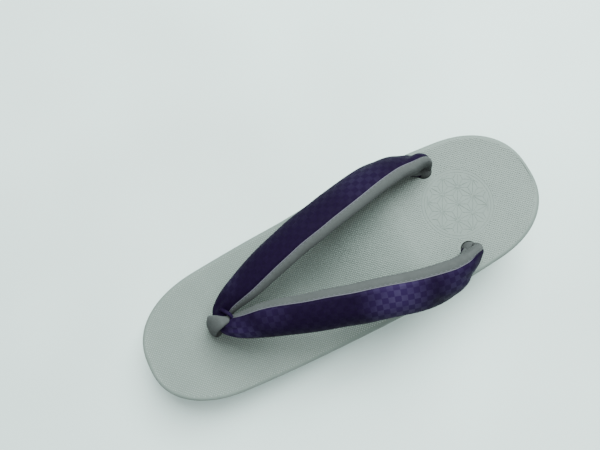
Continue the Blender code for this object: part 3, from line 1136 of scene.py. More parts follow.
@dataclass
class Wedge:
    """The foam wedge, drawn in towards the floor, with a raised band at its top."""

    sole: SoleForm
    foam: bpy.types.Material
    wall: tuple[tuple[float, float], ...] = ((0.0, 1.0), (0.3, 0.66), (0.7, 0.25), (1.0, 0.0))
    wall_steps: int = 22
    wall_from: float = 0.04
    wall_to: float = 0.86
    wall_least: float = 2 * MM
    band: float = 3.4 * MM
    band_groove: float = 0.55 * MM
    groove_rows: tuple[tuple[float, float], ...] = (
        (1.0, 0.0),
        (0.55, 0.0),
        (0.0, 1.0),
        (-0.55, 0.0),
        (-1.0, 0.0),
    )
    groove_room: float = 0.8 * MM
    groove_rise: float = 0.6 * MM
    foot_round: float = 0.6 * MM
    rim_drop: float = 0.4 * MM
    rim_inset: float = 0.3 * MM

    def base(self, x: float) -> float:
        """Height of the wedge's bottom face."""
        return self.sole.bottom(x) + self.sole.outsole_thick

    def head(self, x: float) -> float:
        """Height of the wedge's top face, just under the footbed."""
        return self.sole.underside(x) - self.sole.clearance

    def taper(self, height: float) -> float:
        """Read how far the wall is drawn in.

        Args:
            height: share of the wall's height.

        Returns:
            Share of the taper.
        """
        for (low, first), (high, second) in zip(self.wall, self.wall[1:]):
            if height <= high:
                return first + (second - first) * (height - low) / (high - low)
        return 0.0

    def build(self) -> None:
        """Build the wedge in place of its node."""
        sole = self.sole
        foot = sole.wall_step + sole.wall_taper
        levels = [(share, foot + self.foot_round, self.base) for share in even(0.0, 1.0, 6)]
        levels.append((1.0, foot, lambda x: self.base(x) + self.foot_round))
        for height in even(self.wall_from, self.wall_to, self.wall_steps):
            inset = sole.wall_step + sole.wall_taper * self.taper(height)
            levels.append((1.0, inset, lambda x, height=height: self.level(x, height)))
        for offset, depth in self.groove_rows:
            inset, rise = sole.wall_step + depth * self.band_groove, offset * -0.5 * MM
            levels.append((1.0, inset, lambda x, rise=rise: self.band_foot(x) + rise))
        levels.append((1.0, sole.wall_step, lambda x: self.head(x) - self.rim_drop))
        levels += [(share, sole.wall_step + self.rim_inset, self.head) for share in even(1.0, 0.0, 6)]
        wedge = sole.layer("wedge_foam_body", levels)
        finish(wedge, self.foam, "midsole", 32)

    def band_foot(self, x: float) -> float:
        """Height of the groove under the band."""
        return max(self.head(x) - self.band, self.level(x, self.wall_to) + self.groove_rise)

    def level(self, x: float, share: float) -> float:
        """Height at a share of the wall, kept below the band."""
        reach = max(self.head(x) - self.band - self.groove_room - self.base(x), self.wall_least)
        return self.base(x) + reach * share / self.wall_to


@dataclass
class Outsole:
    """The rubber under the wedge: grooved pads, with fine studs between the grooves."""

    sole: SoleForm
    rubber: bpy.types.Material
    grid: GrownTree
    lip: float = 0.0004
    groove_width: float = 0.0022
    groove_depth: float = 0.0013
    groove_pitch: float = 0.0080
    groove_margin: float = 0.0085
    groove_sides: int = 24
    grooves: int = 9
    stud_height: float = 0.35 * MM
    stud_width: float = 1.5 * MM
    stud_pitch: float = 1.9 * MM
    stud_sides: int = 8
    stud_inset: float = 8.5 * MM
    stud_gap: float = 0.9 * MM
    stud_seed: int = 3

    def build(self) -> None:
        """Build the sheet with its grooves and studs."""
        sheet = self.sheet()
        self.studs(sheet)

    def floor_face(self, x: float) -> float:
        """Height of the face that carries the studs."""
        return self.sole.bottom(x) + self.stud_height

    def head(self, x: float) -> float:
        """Height of the face glued to the wedge."""
        return self.sole.bottom(x) + self.sole.outsole_thick - self.sole.clearance

    def groove_places(self) -> list[float]:
        """X of each groove.

        Returns:
            The places, centred on the flat heel pad and forefoot pad.
        """
        sole = self.sole
        middles = (sole.arch[0] / 2 - 0.5, (sole.arch[1] + sole.spring_from) / 2 - 0.5)
        steps = [(index - (self.grooves - 1) / 2) * self.groove_pitch for index in range(self.grooves)]
        return [sole.length * middle + step for middle in middles for step in steps]

    def sheet(self) -> bpy.types.Object:
        """The rubber sheet, grooved.

        Returns:
            The piece, dressed.
        """
        sole = self.sole
        inset = sole.wall_step + sole.wall_taper - self.lip
        levels = [(share, inset + self.lip, self.floor_face) for share in even(0.0, 1.0, 8)]
        levels.append((1.0, inset, lambda x: self.floor_face(x) + self.lip))
        levels.append((1.0, inset, lambda x: self.head(x) - self.lip / 2))
        levels += [(share, inset + self.lip / 2, self.head) for share in even(1.0, 0.0, 4)]
        sheet = sole.layer("outsole_sheet", levels)
        shape = bmesh.new()
        for x in self.groove_places():
            self.groove_bar(shape, x)
        weld(shape)
        carve(sheet, [from_bmesh("grooves", shape)])
        return finish(sheet, self.rubber, "outsole", 30)

    def groove_bar(self, shape: bmesh.types.BMesh, x: float) -> None:
        """Add a cutter for one groove, round at its bottom and at both ends.

        Args:
            shape: gets the cutter.
            x: the groove's place.
        """
        reach = self.sole.half_width(x) - self.groove_margin
        rows = []
        for height, swell in ((-2.0, 1.15), (0.35, 1.0), (0.8, 0.72), (1.0, 0.4)):
            radius = self.groove_width / 2 * swell
            end = reach - self.groove_width / 2
            z = self.floor_face(x) + height * self.groove_depth
            ring = []
            for step in range(self.groove_sides):
                turn = 2 * pi * step / self.groove_sides
                y = radius * sin(turn) + (end if sin(turn) >= 0 else -end)
                ring.append(Vector((x + radius * cos(turn), y, z)))
            rows.append(ring)
        skin(shape, rows, caps=(0, -1))

    def between_grooves(self, x: float, y: float) -> bool:
        """Whether a place may have a stud.

        Args:
            x: place along the sole.
            y: place across it.

        Returns:
            True away from the edge and the grooves.
        """
        if not self.sole.inside(x, y, self.stud_inset):
            return False
        near = min(self.groove_places(), key=lambda place: abs(place - x))
        reach = self.sole.half_width(near) - self.groove_margin
        return abs(near - x) > self.groove_width / 2 + self.stud_gap or abs(y) > reach + MM

    def studs(self, sheet: bpy.types.Object) -> None:
        """Set small round studs on the sheet, down to the floor.

        Args:
            sheet: what they sit on.
        """
        shape = bmesh.new()
        rows = []
        for height, swell in ((0.5, 1.0), (-0.6, 0.94), (-1.0, 0.7)):
            radius = self.stud_width / 2 * swell
            turns = [2 * pi * step / self.stud_sides for step in range(self.stud_sides)]
            z = -height * self.stud_height
            rows.append([Vector((radius * cos(t), radius * sin(t), z)) for t in turns])
        skin(shape, rows, caps=(0, -1))
        weld(shape)
        element = from_bmesh("stud", shape)
        reach = (self.sole.length / 2, self.sole.waist_width / 2)
        area = area_sheet("stud_area", reach, MM, self.between_grooves)
        values = {"Extent": GRID_EXTENT, "Pitch": self.stud_pitch}
        values.update({"Turn": radians(GRID_TURN), "Ray": -RAY_LENGTH})
        values.update({"Least": 1.0, "Most": 1.0, "Seed": self.stud_seed, "Material": self.rubber})
        values.update({"Surface": sheet, "Area": area, "Element": element})
        piece = self.grid.grow("outsole_studs", bpy.data.meshes.new("outsole_studs"), values)
        for helper in (area, element):
            bpy.data.objects.remove(helper, do_unlink=True)
        finish(piece, self.rubber, None, 30)


# Straps


class Layer(Enum):
    """The two layers of the strap."""

    CLOTH = "strap_cloth"
    LINING = "strap_velour"


class ArmRow(NamedTuple):
    """One section of an arm, in the part's own terms.

    along: share of the way from the toe hole to the rear hole. out: share of the
    rear hole's y. rise: share of the strap's bow over the line between the
    holes. width, crown: shares of the strap's. tilt: turn of the outer face
    from up to outwards. lead: turn from up to forwards. curl: turn of the
    section round its own length. All in degrees.
    """

    along: float
    out: float
    rise: float
    width: float
    crown: float
    tilt: float
    lead: float
    curl: float


class Crease(NamedTuple):
    """A soft trough in the strap, on its chart.

    side: 1 or -1 for one arm, 0 for both. run, across: its middle, along the arm
    from the crossing and across from the middle. turn: degrees from the arm's
    length. length, width, depth: its size. A depth under 0 makes a ridge.
    """

    side: int
    run: float
    across: float
    turn: float
    length: float
    width: float
    depth: float


class Station(NamedTuple):
    """A section of an arm with its directions."""

    place: Vector
    across: Vector
    face: Vector
    width: float
    outer: float
    inner: float
    curl: float
    run: float


Ring = list[tuple[Vector, float]]
Section = Callable[[Station, int], Ring]
Across = Callable[[Station], tuple[float, float]]


@dataclass
class Strap:
    """The padded V strap: a woven top and a velour lining, both rolled into the sole."""

    sole: SoleForm
    jacquard: bpy.types.Material
    velour: bpy.types.Material
    thread: bpy.types.Material
    seams: GrownTree
    width: float = 0.0255
    outer: float = 0.0050
    inner: float = 0.0042
    seam: float = 0.0008
    reveal: float = 0.0034
    rise: float = 0.0270
    tail_width: float = 0.0150
    tail_curl: float = 245
    tail_outer: float = 0.0011
    tail_inner: float = 0.0009
    tail_depths: tuple[float, ...] = (-0.15, 0.35, 1.0)
    step: float = 0.9 * MM
    cloth_steps: int = 36
    lining_steps: int = 44
    pucker_pitch: float = 3.3 * MM
    pucker_depth: float = 0.16 * MM
    pucker_reach: float = 1.9 * MM
    slack: float = 0.22 * MM
    slack_size: float = 15 * MM
    core_sides: int = 32
    core_wrinkle: float = 0.04
    core_radius: float = 4.4 * MM
    core_dome: tuple[tuple[float, float, float, float], ...] = (
        (-2.0 * MM, 0.99, -0.2 * MM, 0.2 * MM),
        (-0.8 * MM, 0.95, -0.5 * MM, 0.5 * MM),
        (0.3 * MM, 0.91, -0.8 * MM, 0.8 * MM),
        (1.2 * MM, 0.80, -1.0 * MM, 1.1 * MM),
        (2.0 * MM, 0.60, -1.2 * MM, 1.4 * MM),
        (2.5 * MM, 0.36, -1.3 * MM, 1.5 * MM),
        (2.6 * MM, 0.10, -1.3 * MM, 1.5 * MM),
    )
    belly: tuple[tuple[float, float], ...] = (
        (0.0, 0.70),
        (90 * MM, 0.70),
        (125 * MM, 1.1),
        (150 * MM, 2.3),
        (0.2, 2.3),
    )
    piping_radius: float = 0.45 * MM
    piping_place: tuple[float, float] = (0.15 * MM, 0.30 * MM)
    seam_roll_radius: float = 0.26 * MM
    seam_roll_place: tuple[float, float] = (0.05 * MM, 0.16 * MM)
    roll_sides: int = 10
    roll_ends: tuple[int, int] = (8, 22)
    roll_fade: int = 8
    stitch_pitch: float = 2.6 * MM
    stitch: tuple[float, float] = (1.5 * MM, 0.12 * MM)
    stitch_place: tuple[float, float] = (0.75 * MM, 0.30 * MM)
    stitch_ends: tuple[int, int] = (10, 14)
    rows: tuple[ArmRow, ...] = (
        ArmRow(0.071, 0.00, 0.64, 0.46, 0.62, 0, 28, 10),
        ArmRow(0.077, 0.14, 0.65, 0.45, 0.64, 3, 22, 10),
        ArmRow(0.100, 0.24, 0.69, 0.50, 0.70, 8, 12, 8),
        ArmRow(0.142, 0.33, 0.77, 0.60, 0.80, 14, 6, 8),
        ArmRow(0.229, 0.46, 0.91, 0.76, 0.92, 20, 0, 8),
        ArmRow(0.364, 0.70, 0.99, 0.85, 1.00, 26, 0, 8),
        ArmRow(0.498, 0.91, 0.98, 0.91, 1.00, 31, 0, 8),
        ArmRow(0.633, 1.10, 0.88, 0.95, 1.00, 35, 0, 10),
        ArmRow(0.768, 1.28, 0.71, 0.98, 1.00, 41, 0, 14),
        ArmRow(0.869, 1.34, 0.55, 0.99, 0.96, 52, 0, 24),
        ArmRow(0.932, 1.28, 0.47, 0.88, 0.80, 66, 0, 48),
        ArmRow(0.974, 1.21, 0.36, 0.72, 0.55, 80, 0, 100),
    )
    lean_rows: tuple[tuple[float, float], ...] = (
        (-0.0690, 0.0),
        (-0.0600, 1.2 * MM),
        (-0.0350, 1.0 * MM),
        (-0.0050, 0.0),
        (0.0150, -1.0 * MM),
        (0.0450, -2.0 * MM),
        (0.0690, -2.5 * MM),
    )
    creases: tuple[Crease, ...] = (
        Crease(0, 6 * MM, 2.5 * MM, 24, 12 * MM, 1.1 * MM, 0.50 * MM),
        Crease(0, 8 * MM, -1.5 * MM, 8, 14 * MM, 1.2 * MM, 0.45 * MM),
        Crease(1, 9 * MM, -4.5 * MM, -10, 13 * MM, 1.3 * MM, 0.40 * MM),
        Crease(-1, 11 * MM, 3.6 * MM, 16, 15 * MM, 1.4 * MM, 0.40 * MM),
        Crease(1, 140 * MM, -2.0 * MM, -28, 22 * MM, 2.2 * MM, 0.55 * MM),
        Crease(1, 149 * MM, 2.5 * MM, -34, 18 * MM, 1.6 * MM, 0.55 * MM),
        Crease(-1, 143 * MM, 1.0 * MM, -30, 20 * MM, 2.0 * MM, 0.55 * MM),
        Crease(-1, 151 * MM, -3.0 * MM, -24, 18 * MM, 1.6 * MM, 0.50 * MM),
        Crease(0, 124 * MM, -8.0 * MM, -18, 26 * MM, 2.6 * MM, 0.35 * MM),
        Crease(-1, 62 * MM, 5.0 * MM, 10, 34 * MM, 3.2 * MM, 0.25 * MM),
        Crease(1, 78 * MM, 3.0 * MM, -8, 34 * MM, 3.2 * MM, 0.25 * MM),
    )

    def build(self) -> None:
        """Build both layers, the rolls and stitches at their seams, and the cores."""
        cloth = self.layer(Layer.CLOTH, self.cloth_ring)
        finish(cloth, self.jacquard, "strap_upper", 60)
        lining = self.layer(Layer.LINING, self.lining_ring)
        finish(lining, self.velour, "strap_lining", 60)
        finish(self.piping(), self.velour, None, 60)
        finish(self.seam_roll(), self.thread, None, 60)
        finish(self.stitches(), self.thread, None, 60)
        finish(self.tail_cores(), self.velour, None, 60)

    @property
    def tail_radius(self) -> float:
        """Radius of the seam line where the strap's end is rolled up."""
        return self.tail_width / radians(self.tail_curl)

    def sections(self) -> list[tuple[float, ...]]:
        """Values of one arm at each row.

        Returns:
            Place, width, crowns, tilt, lead and curl of each section.
        """
        (toe_x, _), (rear_x, rear_y) = self.sole.toe_hole, self.sole.rear_hole
        front, back = self.sole.top(toe_x), self.sole.top(rear_x)
        sections = []
        for row in self.rows:
            line = front + (back - front) * row.along
            place = (toe_x + (rear_x - toe_x) * row.along, rear_y * row.out, line + self.rise * row.rise)
            crowns = (self.outer * row.crown, self.inner * row.crown)
            sections.append((*place, self.width * row.width, *crowns, row.tilt, row.lead, row.curl))
        for depth in self.tail_depths:
            place = (rear_x, rear_y + self.tail_radius, back - self.sole.footbed_thick * depth)
            crowns = (self.tail_outer, self.tail_inner)
            sections.append((*place, self.tail_width, *crowns, 90, 0, self.tail_curl))
        return sections

    def smooth_values(self) -> list[list[float]]:
        """Pass a smooth curve through the sections.

        Returns:
            The sections' values, at fine steps.
        """
        values = self.sections()
        ghost = tuple(-v if i == 1 else v for i, v in enumerate(values[1]))
        values = [ghost] + values
        knots = [0.0]
        for a, b in zip(values, values[1:]):
            knots.append(knots[-1] + (Vector(b[:3]) - Vector(a[:3])).length)
        last = len(values) - 1
        slopes = []
        for index in range(last + 1):
            before, after = max(index - 1, 0), min(index + 1, last)
            gap = knots[after] - knots[before]
            slopes.append([(b - a) / gap for a, b in zip(values[before], values[after])])
        read = [list(values[1])]
        for index in range(1, last):
            span = knots[index + 1] - knots[index]
            steps = max(2, round(span / self.step))
            pairs = list(zip(values[index], values[index + 1], slopes[index], slopes[index + 1]))
            for step in range(1, steps + 1):
                read.append([hermite(step / steps, span, *pair) for pair in pairs])
        return read

    @cached_property
    def stations(self) -> list[Station]:
        """Sections of one arm with their directions.

        Returns:
            The stations, from the crossing to the bottom of the rear hole.
        """
        values = self.smooth_values()
        stations = []
        run = 0.0
        last = len(values) - 1
        for index, value in enumerate(values):
            place = Vector(value[:3])
            if index:
                behind = Vector(values[index - 1][:3])
                run += (place - behind).length
                ahead = Vector(values[min(index + 1, last)][:3])
                tangent = (ahead - behind).normalized()
            else:
                tangent = Vector((0.0, 1.0, 0.0))
            width, outer, inner, tilt, lead, curl = value[3:]
            tilt, lead = radians(tilt), radians(lead)
            face = Vector((sin(lead) * cos(tilt), sin(tilt), cos(lead) * cos(tilt)))
            face = (face - tangent * face.dot(tangent)).normalized()
            across = face.cross(tangent)
            stations.append(Station(place, across, face, width, outer, inner, radians(curl), run))
        return stations

    def seam_at(self, station: Station) -> float:
        """Place of the upper seam across a section."""
        return station.width / 2 * (1.0 - 2 * self.reveal / self.width)

    @staticmethod
    def swell(station: Station, along: float) -> float:
        """Share of the crown at a place across a section."""
        return sqrt(max(1.0 - (2 * along / station.width) ** 2, 0.0))

    @staticmethod
    def bent_point(station: Station, along: float, off: float) -> Vector:
        """Bend a place in a section through its curl.

        Args:
            station: the section.
            along: place across it.
            off: distance off its seam line.

        Returns:
            The point.
        """
        radius = station.width / station.curl
        turn = along / radius
        reach = radius + off
        rise = reach * cos(turn) - radius
        return station.place + station.across * (reach * sin(turn)) + station.face * rise

    def split_height(self, station: Station, along: float) -> float:
        """Where cloth and lining part.

        Args:
            station: the section.
            along: place across it.

        Returns:
            The height off the seam line: low at the lower seam, up at the upper one.
        """
        half, upper = station.width / 2, self.seam_at(station)
        share = (along + half) / (upper + half)
        return station.outer * self.swell(station, upper) * share * share

    def relief(self, station: Station, along: float, side: int, layer: Layer) -> float:
        """How far the padding stands off the smooth form at a place.

        Args:
            station: the section.
            along: place across it.
            side: 1 or -1, which arm.
            layer: cloth or lining.

        Returns:
            The offset: puckers along the seams, creases and slack.
        """
        rolled = smooth_ramp(station.curl, radians(60), radians(180))
        fade = smooth_ramp(station.run, 0.0, 3 * MM) * (1.0 - rolled)
        half = station.width / 2
        nearest = min(abs(along + half), abs(along - self.seam_at(station)), abs(along - half))
        shift = 0.8 * sin(station.run / (11 * MM) + side)
        wave = 0.5 + 0.5 * cos(2 * pi * station.run / self.pucker_pitch + shift)
        pucker = self.pucker_depth * wave * exp(-((nearest / self.pucker_reach) ** 2))
        shape = 0.0
        for crease in self.creases:
            if crease.side not in (0, side):
                continue
            away, over = station.run - crease.run, along - crease.across
            turn = radians(crease.turn)
            by = away * cos(turn) + over * sin(turn)
            off = over * cos(turn) - away * sin(turn)
            fading = (2 * by / crease.length) ** 2
            depth = exp(-((off / crease.width) ** 2) - fading)
            shoulder = exp(-(((abs(off) - 2.0 * crease.width) / crease.width) ** 2) - fading)
            shape += crease.depth * (depth - 0.35 * shoulder)
        seed = Vector((station.run / self.slack_size, along / (self.slack_size * 0.7), side * 7.3))
        if layer is Layer.LINING:
            seed.z += 3.1
            shape *= 0.7
        slack = self.slack * noise.noise(seed) * self.swell(station, along)
        return fade * (slack - pucker - shape)

    def cloth_ring(self, station: Station, side: int) -> Ring:
        """Section of the cloth.

        Args:
            station: the section's station.
            side: 1 or -1, which arm.

        Returns:
            Its points, each with its place across.
        """
        half, upper = station.width / 2, self.seam_at(station)
        ring = []
        for along in spread(-half, upper, self.cloth_steps):
            off = station.outer * self.swell(station, along) + self.seam
            rounding = smooth_ramp(along + half, 0.0, MM) * smooth_ramp(upper - along, 0.0, 1.3 * MM)
            off -= self.seam * 0.75 * (1.0 - rounding)
            off += self.relief(station, along, side, Layer.CLOTH) * rounding
            ring.append((self.bent_point(station, along, off), along))
        for along in reversed(spread(-half, upper, self.cloth_steps // 3)):
            off = self.split_height(station, along) - 0.1 * MM
            ring.append((self.bent_point(station, along, off), along))
        return ring

    def lining_ring(self, station: Station, side: int) -> Ring:
        """Section of the lining.

        Args:
            station: the section's station.
            side: 1 or -1, which arm.

        Returns:
            Its points, each with its place across.
        """
        half, upper = station.width / 2, self.seam_at(station)
        ring = []
        for along in spread(-half, upper, self.lining_steps // 4):
            off = self.split_height(station, along) - self.sole.clearance
            ring.append((self.bent_point(station, along, off), along))
        for along in spread(upper + self.sole.clearance, half, self.lining_steps // 4):
            rim = self.seam * 0.45 * smooth_ramp(half - along, 0.0, MM)
            off = station.outer * self.swell(station, along) + rim
            off += self.relief(station, along, side, Layer.LINING) * 0.6
            ring.append((self.bent_point(station, along, off), along))
        for along in reversed(spread(-half, half, self.lining_steps)):
            off = station.inner * eased(self.belly, station.run) * self.swell(station, along) + self.seam
            off += self.relief(station, along, side, Layer.LINING)
            ring.append((self.bent_point(station, along, -off), 2 * half + (half - along)))
        return ring

    def leaned(self, point: Vector, side: int) -> Vector:
        """Move a point of an arm to its side, and lean it as the real strap leans."""
        return Vector((point.x, point.y * side + eased(self.lean_rows, point.x), point.z))

    def layer(self, layer: Layer, section: Section) -> bpy.types.Object:
        """Loft one layer of both arms, in one piece where they cross.

        Args:
            layer: which one.
            section: gives its ring at a station.

        Returns:
            The piece, with a chart in metres along and across.
        """
        shape = bmesh.new()
        gap = self.sole.clearance / 2
        for side in (1, -1):
            rings = [section(station, side) for station in self.stations]
            rows = []
            for index, ring in enumerate(rings):
                row = []
                for point, _ in ring:
                    flat = Vector(point)
                    flat.y = max(flat.y, gap) if index else 0.0
                    row.append(self.leaned(flat, side))
                rows.append(row)

            def chart(row: int, column: int, rings: list = rings, side: int = side) -> tuple[float, float]:
                """UV of a corner.

                Args:
                    row: number of the ring.
                    column: number of the point in it.
                    rings: the arm's rings.
                    side: 1 or -1, which arm.

                Returns:
                    Metres along the arm and across it.
                """
                ring = rings[row]
                across = ring[column % len(ring)][1]
                if layer is Layer.LINING and column == len(ring):
                    across = 3 * self.stations[row].width / 2
                return side * self.stations[row].run, across

            skin(shape, rows, caps=(-1,), chart=chart)
        weld(shape, 1e-6)
        return from_bmesh(layer.value, shape)

    def seam_line(self, side: int, across: Across, first: int, last: int) -> list[Vector]:
        """Points of a seam along one arm.

        Args:
            side: 1 or -1, which arm.
            across: place across a section and off it.
            first: number of the first station.
            last: number of the last station.

        Returns:
            The points.
        """
        points = []
        for station in self.stations[first:last]:
            point = self.bent_point(station, *across(station))
            point.y = max(point.y, self.sole.clearance)
            points.append(self.leaned(point, side))
        return points

    def roll(self, name: str, across: Across, radius: float) -> bpy.types.Object:
        """A thin round roll along a seam of each arm.

        Args:
            name: the object's name.
            across: place across a section and off it.
            radius: of the roll.

        Returns:
            The piece.
        """
        shape = bmesh.new()
        turns = [2 * pi * corner / self.roll_sides for corner in range(self.roll_sides)]
        start, end = self.roll_ends
        for side in (1, -1):
            line = self.seam_line(side, across, start, len(self.stations) - end)
            last = len(line) - 1
            rows = []
            for index, point in enumerate(line):
                tangent = (line[min(index + 1, last)] - line[max(index - 1, 0)]).normalized()
                first = Vector((0, 0, 1)).cross(tangent).normalized()
                second = tangent.cross(first)
                size = radius * smooth_ramp(index, -1, self.roll_fade)
                size *= smooth_ramp(last - index, -1, self.roll_fade)
                rows.append([point + first * (size * cos(t)) + second * (size * sin(t)) for t in turns])
            skin(shape, rows, caps=(0, -1))
        weld(shape)
        return from_bmesh(name, shape)

    def piping(self) -> bpy.types.Object:
        """The velour that shows below the cloth, along the lower seam."""
        below, off = self.piping_place
        return self.roll("strap_piping", lambda s: (-s.width / 2 - below, off), self.piping_radius)

    def seam_roll(self) -> bpy.types.Object:
        """The thin edge of the velour where it meets the cloth, at the upper seam.

        Returns:
            The piece.
        """
        shift, off = self.seam_roll_place

        def upper(station: Station) -> tuple[float, float]:
            """Place of the edge across a section."""
            along = self.seam_at(station)
            return along + shift, station.outer * self.swell(station, along) + off

        return self.roll("strap_seam_roll", upper, self.seam_roll_radius)

    def tail_cores(self) -> bpy.types.Object:
        """The velour that fills each rear hole and rounds off the strap's rolled end.

        Returns:
            The piece.
        """
        shape = bmesh.new()
        rear_x, rear_y = self.sole.rear_hole
        low, high = self.sole.underside(rear_x), self.sole.top(rear_x)
        levels = [(low + (high - low) * share, 0.92 + 0.08 * share, 0.0, 0.0) for share in (0.0, 0.5, 0.9)]
        levels += [(high + rise, size, back, out) for rise, size, back, out in self.core_dome]
        for side in (1, -1):
            rows = []
            for height, swell, back, out in levels:
                ring = []
                for step in range(self.core_sides):
                    turn = 2 * pi * step / self.core_sides
                    wrinkle = 1.0 + self.core_wrinkle * sin(3 * turn + 300 * height)
                    radius = self.core_radius * swell * wrinkle
                    x, y = rear_x + back + radius * cos(turn), rear_y + out + radius * sin(turn)
                    ring.append(Vector((x, side * y, height)))
                rows.append(ring)
            skin(shape, rows, caps=(0, -1))
        weld(shape)
        return from_bmesh("strap_tail_cores", shape)

    def stitches(self) -> bpy.types.Object:
        """Small stitches that sink into the velour beside each arm's upper seam.

        Returns:
            The piece.
        """
        shape = bmesh.new()
        long, thick = self.stitch
        bmesh.ops.create_uvsphere(shape, u_segments=6, v_segments=5, radius=1.0)
        turned = Matrix.Rotation(radians(90), 4, "Y") @ Matrix.Diagonal((thick, thick, long / 2, 1.0))
        bmesh.ops.transform(shape, matrix=turned, verts=shape.verts)
        element = from_bmesh("stitch", shape)
        lines = bmesh.new()
        shift, off = self.stitch_place

        def upper(station: Station) -> tuple[float, float]:
            """Place of the stitches across a section."""
            along = self.seam_at(station) + shift
            return along, station.outer * self.swell(station, along) + off

        start, end = self.stitch_ends
        for side in (1, -1):
            points = self.seam_line(side, upper, start, len(self.stations) - end)
            verts = [lines.verts.new(point) for point in points]
            for pair in zip(verts, verts[1:]):
                lines.edges.new(pair)
        mesh = bpy.data.meshes.new("strap_stitches")
        lines.to_mesh(mesh)
        lines.free()
        values = {"Pitch": self.stitch_pitch, "Element": element, "Material": self.thread}
        piece = self.seams.grow("strap_stitches", mesh, values)
        bpy.data.objects.remove(element, do_unlink=True)
        return piece


@dataclass
class ToeLoop:
    """The velour band that holds the crossing of the arms, both legs in one hole."""

    sole: SoleForm
    strap: Strap
    velour: bpy.types.Material
    jacquard: bpy.types.Material
    width: float = 0.0106
    foot_width: float = 0.0088
    tuck_width: float = 0.0040
    thick: float = 0.0033
    foot_thick: float = 0.0041
    sweep: float = 303
    tuck: tuple[float, float] = (45, 165)
    tuck_shift: float = 1.6 * MM
    rear_cut: float = 3.4 * MM
    front_bulge: float = 1.3 * MM
    rear_shift: float = 2.2 * MM
    bluntness: float = 0.8
    leg_gap: float = 0.0008
    turns: int = 84
    corners: int = 40
    lean: float = -2.5 * MM
    foot_lean: float = -2.0 * MM
    core_radius: float = 4.2 * MM
    core_rise: float = 0.3 * MM
    core_place: tuple[float, float] = (0.3 * MM, -0.8 * MM)
    core_sides: int = 40
    core_rows: tuple[tuple[float, float], ...] = (
        (0.0, 0.95),
        (0.5, 1.0),
        (0.84, 1.0),
        (0.94, 0.92),
        (1.0, 0.72),
        (1.01, 0.3),
    )
    rear_foot_width: float = 0.0056
    fold: tuple[tuple[float, float, float, float], ...] = (
        (67.0, -8.3, 51.6, 0.5),
        (66.2, -7.0, 53.2, 1.0),
        (64.7, -5.2, 53.8, 1.1),
        (63.2, -2.8, 53.6, 1.1),
        (62.5, -0.2, 52.4, 0.8),
    )
    slack: float = 0.16 * MM
    crease: float = 0.22 * MM
    fold_steps: int = 8
    fold_sides: int = 20
    ease_rounds: int = 10

    def path(self) -> list[tuple[Vector, float]]:
        """Stations of the band, each with its width across the foot.

        Returns:
            The stations, up from the hole, over the crossing and back down.
        """
        station = self.strap.stations[0]
        clearance = self.sole.clearance
        band = self.strap.seam + clearance + self.thick / 2
        long_axis = station.width / 2 + clearance + self.thick / 2
        leg = self.thick / 2 + self.leg_gap / 2
        toe_x = self.sole.toe_hole[0]
        legs = []
        for x, wide in ((toe_x + leg, self.foot_width), (toe_x - leg, self.rear_foot_width)):
            low, high = self.sole.underside(x), self.sole.dished(x, 0.0)
            legs.append([(Vector((x, 0.0, z)), wide) for z in even(low, high, 8)])
        path = legs[0]
        for step in range(self.turns + 1):
            degrees = self.sweep * step / self.turns
            turn = radians(degrees)
            reach = band + (station.outer if sin(turn) > 0 else station.inner)
            axis = long_axis - self.rear_cut * smooth_ramp(-cos(turn), 0.0, 0.8)
            point = station.place - station.across * (axis * cos(turn)) + station.face * (reach * sin(turn))
            narrow = smooth_ramp(degrees, *self.tuck)
            path.append((point, self.width + (self.tuck_width - self.width) * narrow))
        return path + legs[1][::-1]

    def smoothed(self) -> list[tuple[Vector, float]]:
        """Ease the bends of the path.

        Returns:
            The stations, as many as before.
        """
        path = self.path()
        for _ in range(self.ease_rounds):
            inner = []
            for before, here, after in zip(path, path[1:], path[2:]):
                point = (before[0] + here[0] * 2 + after[0]) / 4
                inner.append((point, (before[1] + here[1] * 2 + after[1]) / 4))
            path = [path[0]] + inner + [path[-1]]
        return path

    def blunted(self, value: float) -> float:
        """Push a sine or cosine outwards, so that an oval becomes a soft box."""
        return abs(value) ** self.bluntness * (1 if value > 0 else -1)

    def build(self) -> None:
        """Build the band and the fold of cloth that shows behind it."""
        path = self.smoothed()
        crossing = self.strap.stations[0].place.z
        foot = self.sole.top(self.sole.toe_hole[0])
        rows = []
        for index, (point, width) in enumerate(path):
            ahead, behind = path[min(index + 1, len(path) - 1)][0], path[max(index - 1, 0)][0]
            tangent = (ahead - behind).normalized()
            outwards = Vector((-tangent.z, 0.0, tangent.x))
            height = smooth_ramp(point.z, foot, crossing)
            lean = self.foot_lean + (self.lean - self.foot_lean) * sqrt(height)
            lean += self.tuck_shift * (self.width - width) / (self.width - self.tuck_width) * height
            bulge = sin(pi * height)
            if index < len(path) / 2:
                point = point + Vector((self.front_bulge * bulge, 0.0, 0.0))
            else:
                lean -= self.rear_shift * bulge
            thick = self.foot_thick + (self.thick - self.foot_thick) * height
            ring = []
            for corner in range(self.corners):
                turn = 2 * pi * corner / self.corners
                side = self.blunted(cos(turn)) * width / 2
                lift = self.blunted(sin(turn)) * thick / 2
                spot = Vector((point.x, side + lean, point.z)) + outwards * lift
                ring.append(spot + outwards * self.relief(index, cos(turn), sin(turn)))
            rows.append(ring)
        shape = bmesh.new()
        skin(shape, rows, caps=(0, -1))
        self.add_core(shape)
        weld(shape)
        finish(from_bmesh("toe_loop_band", shape), self.velour, "toe_loop", 60)
        finish(self.cloth_fold(), self.jacquard, None, 60)

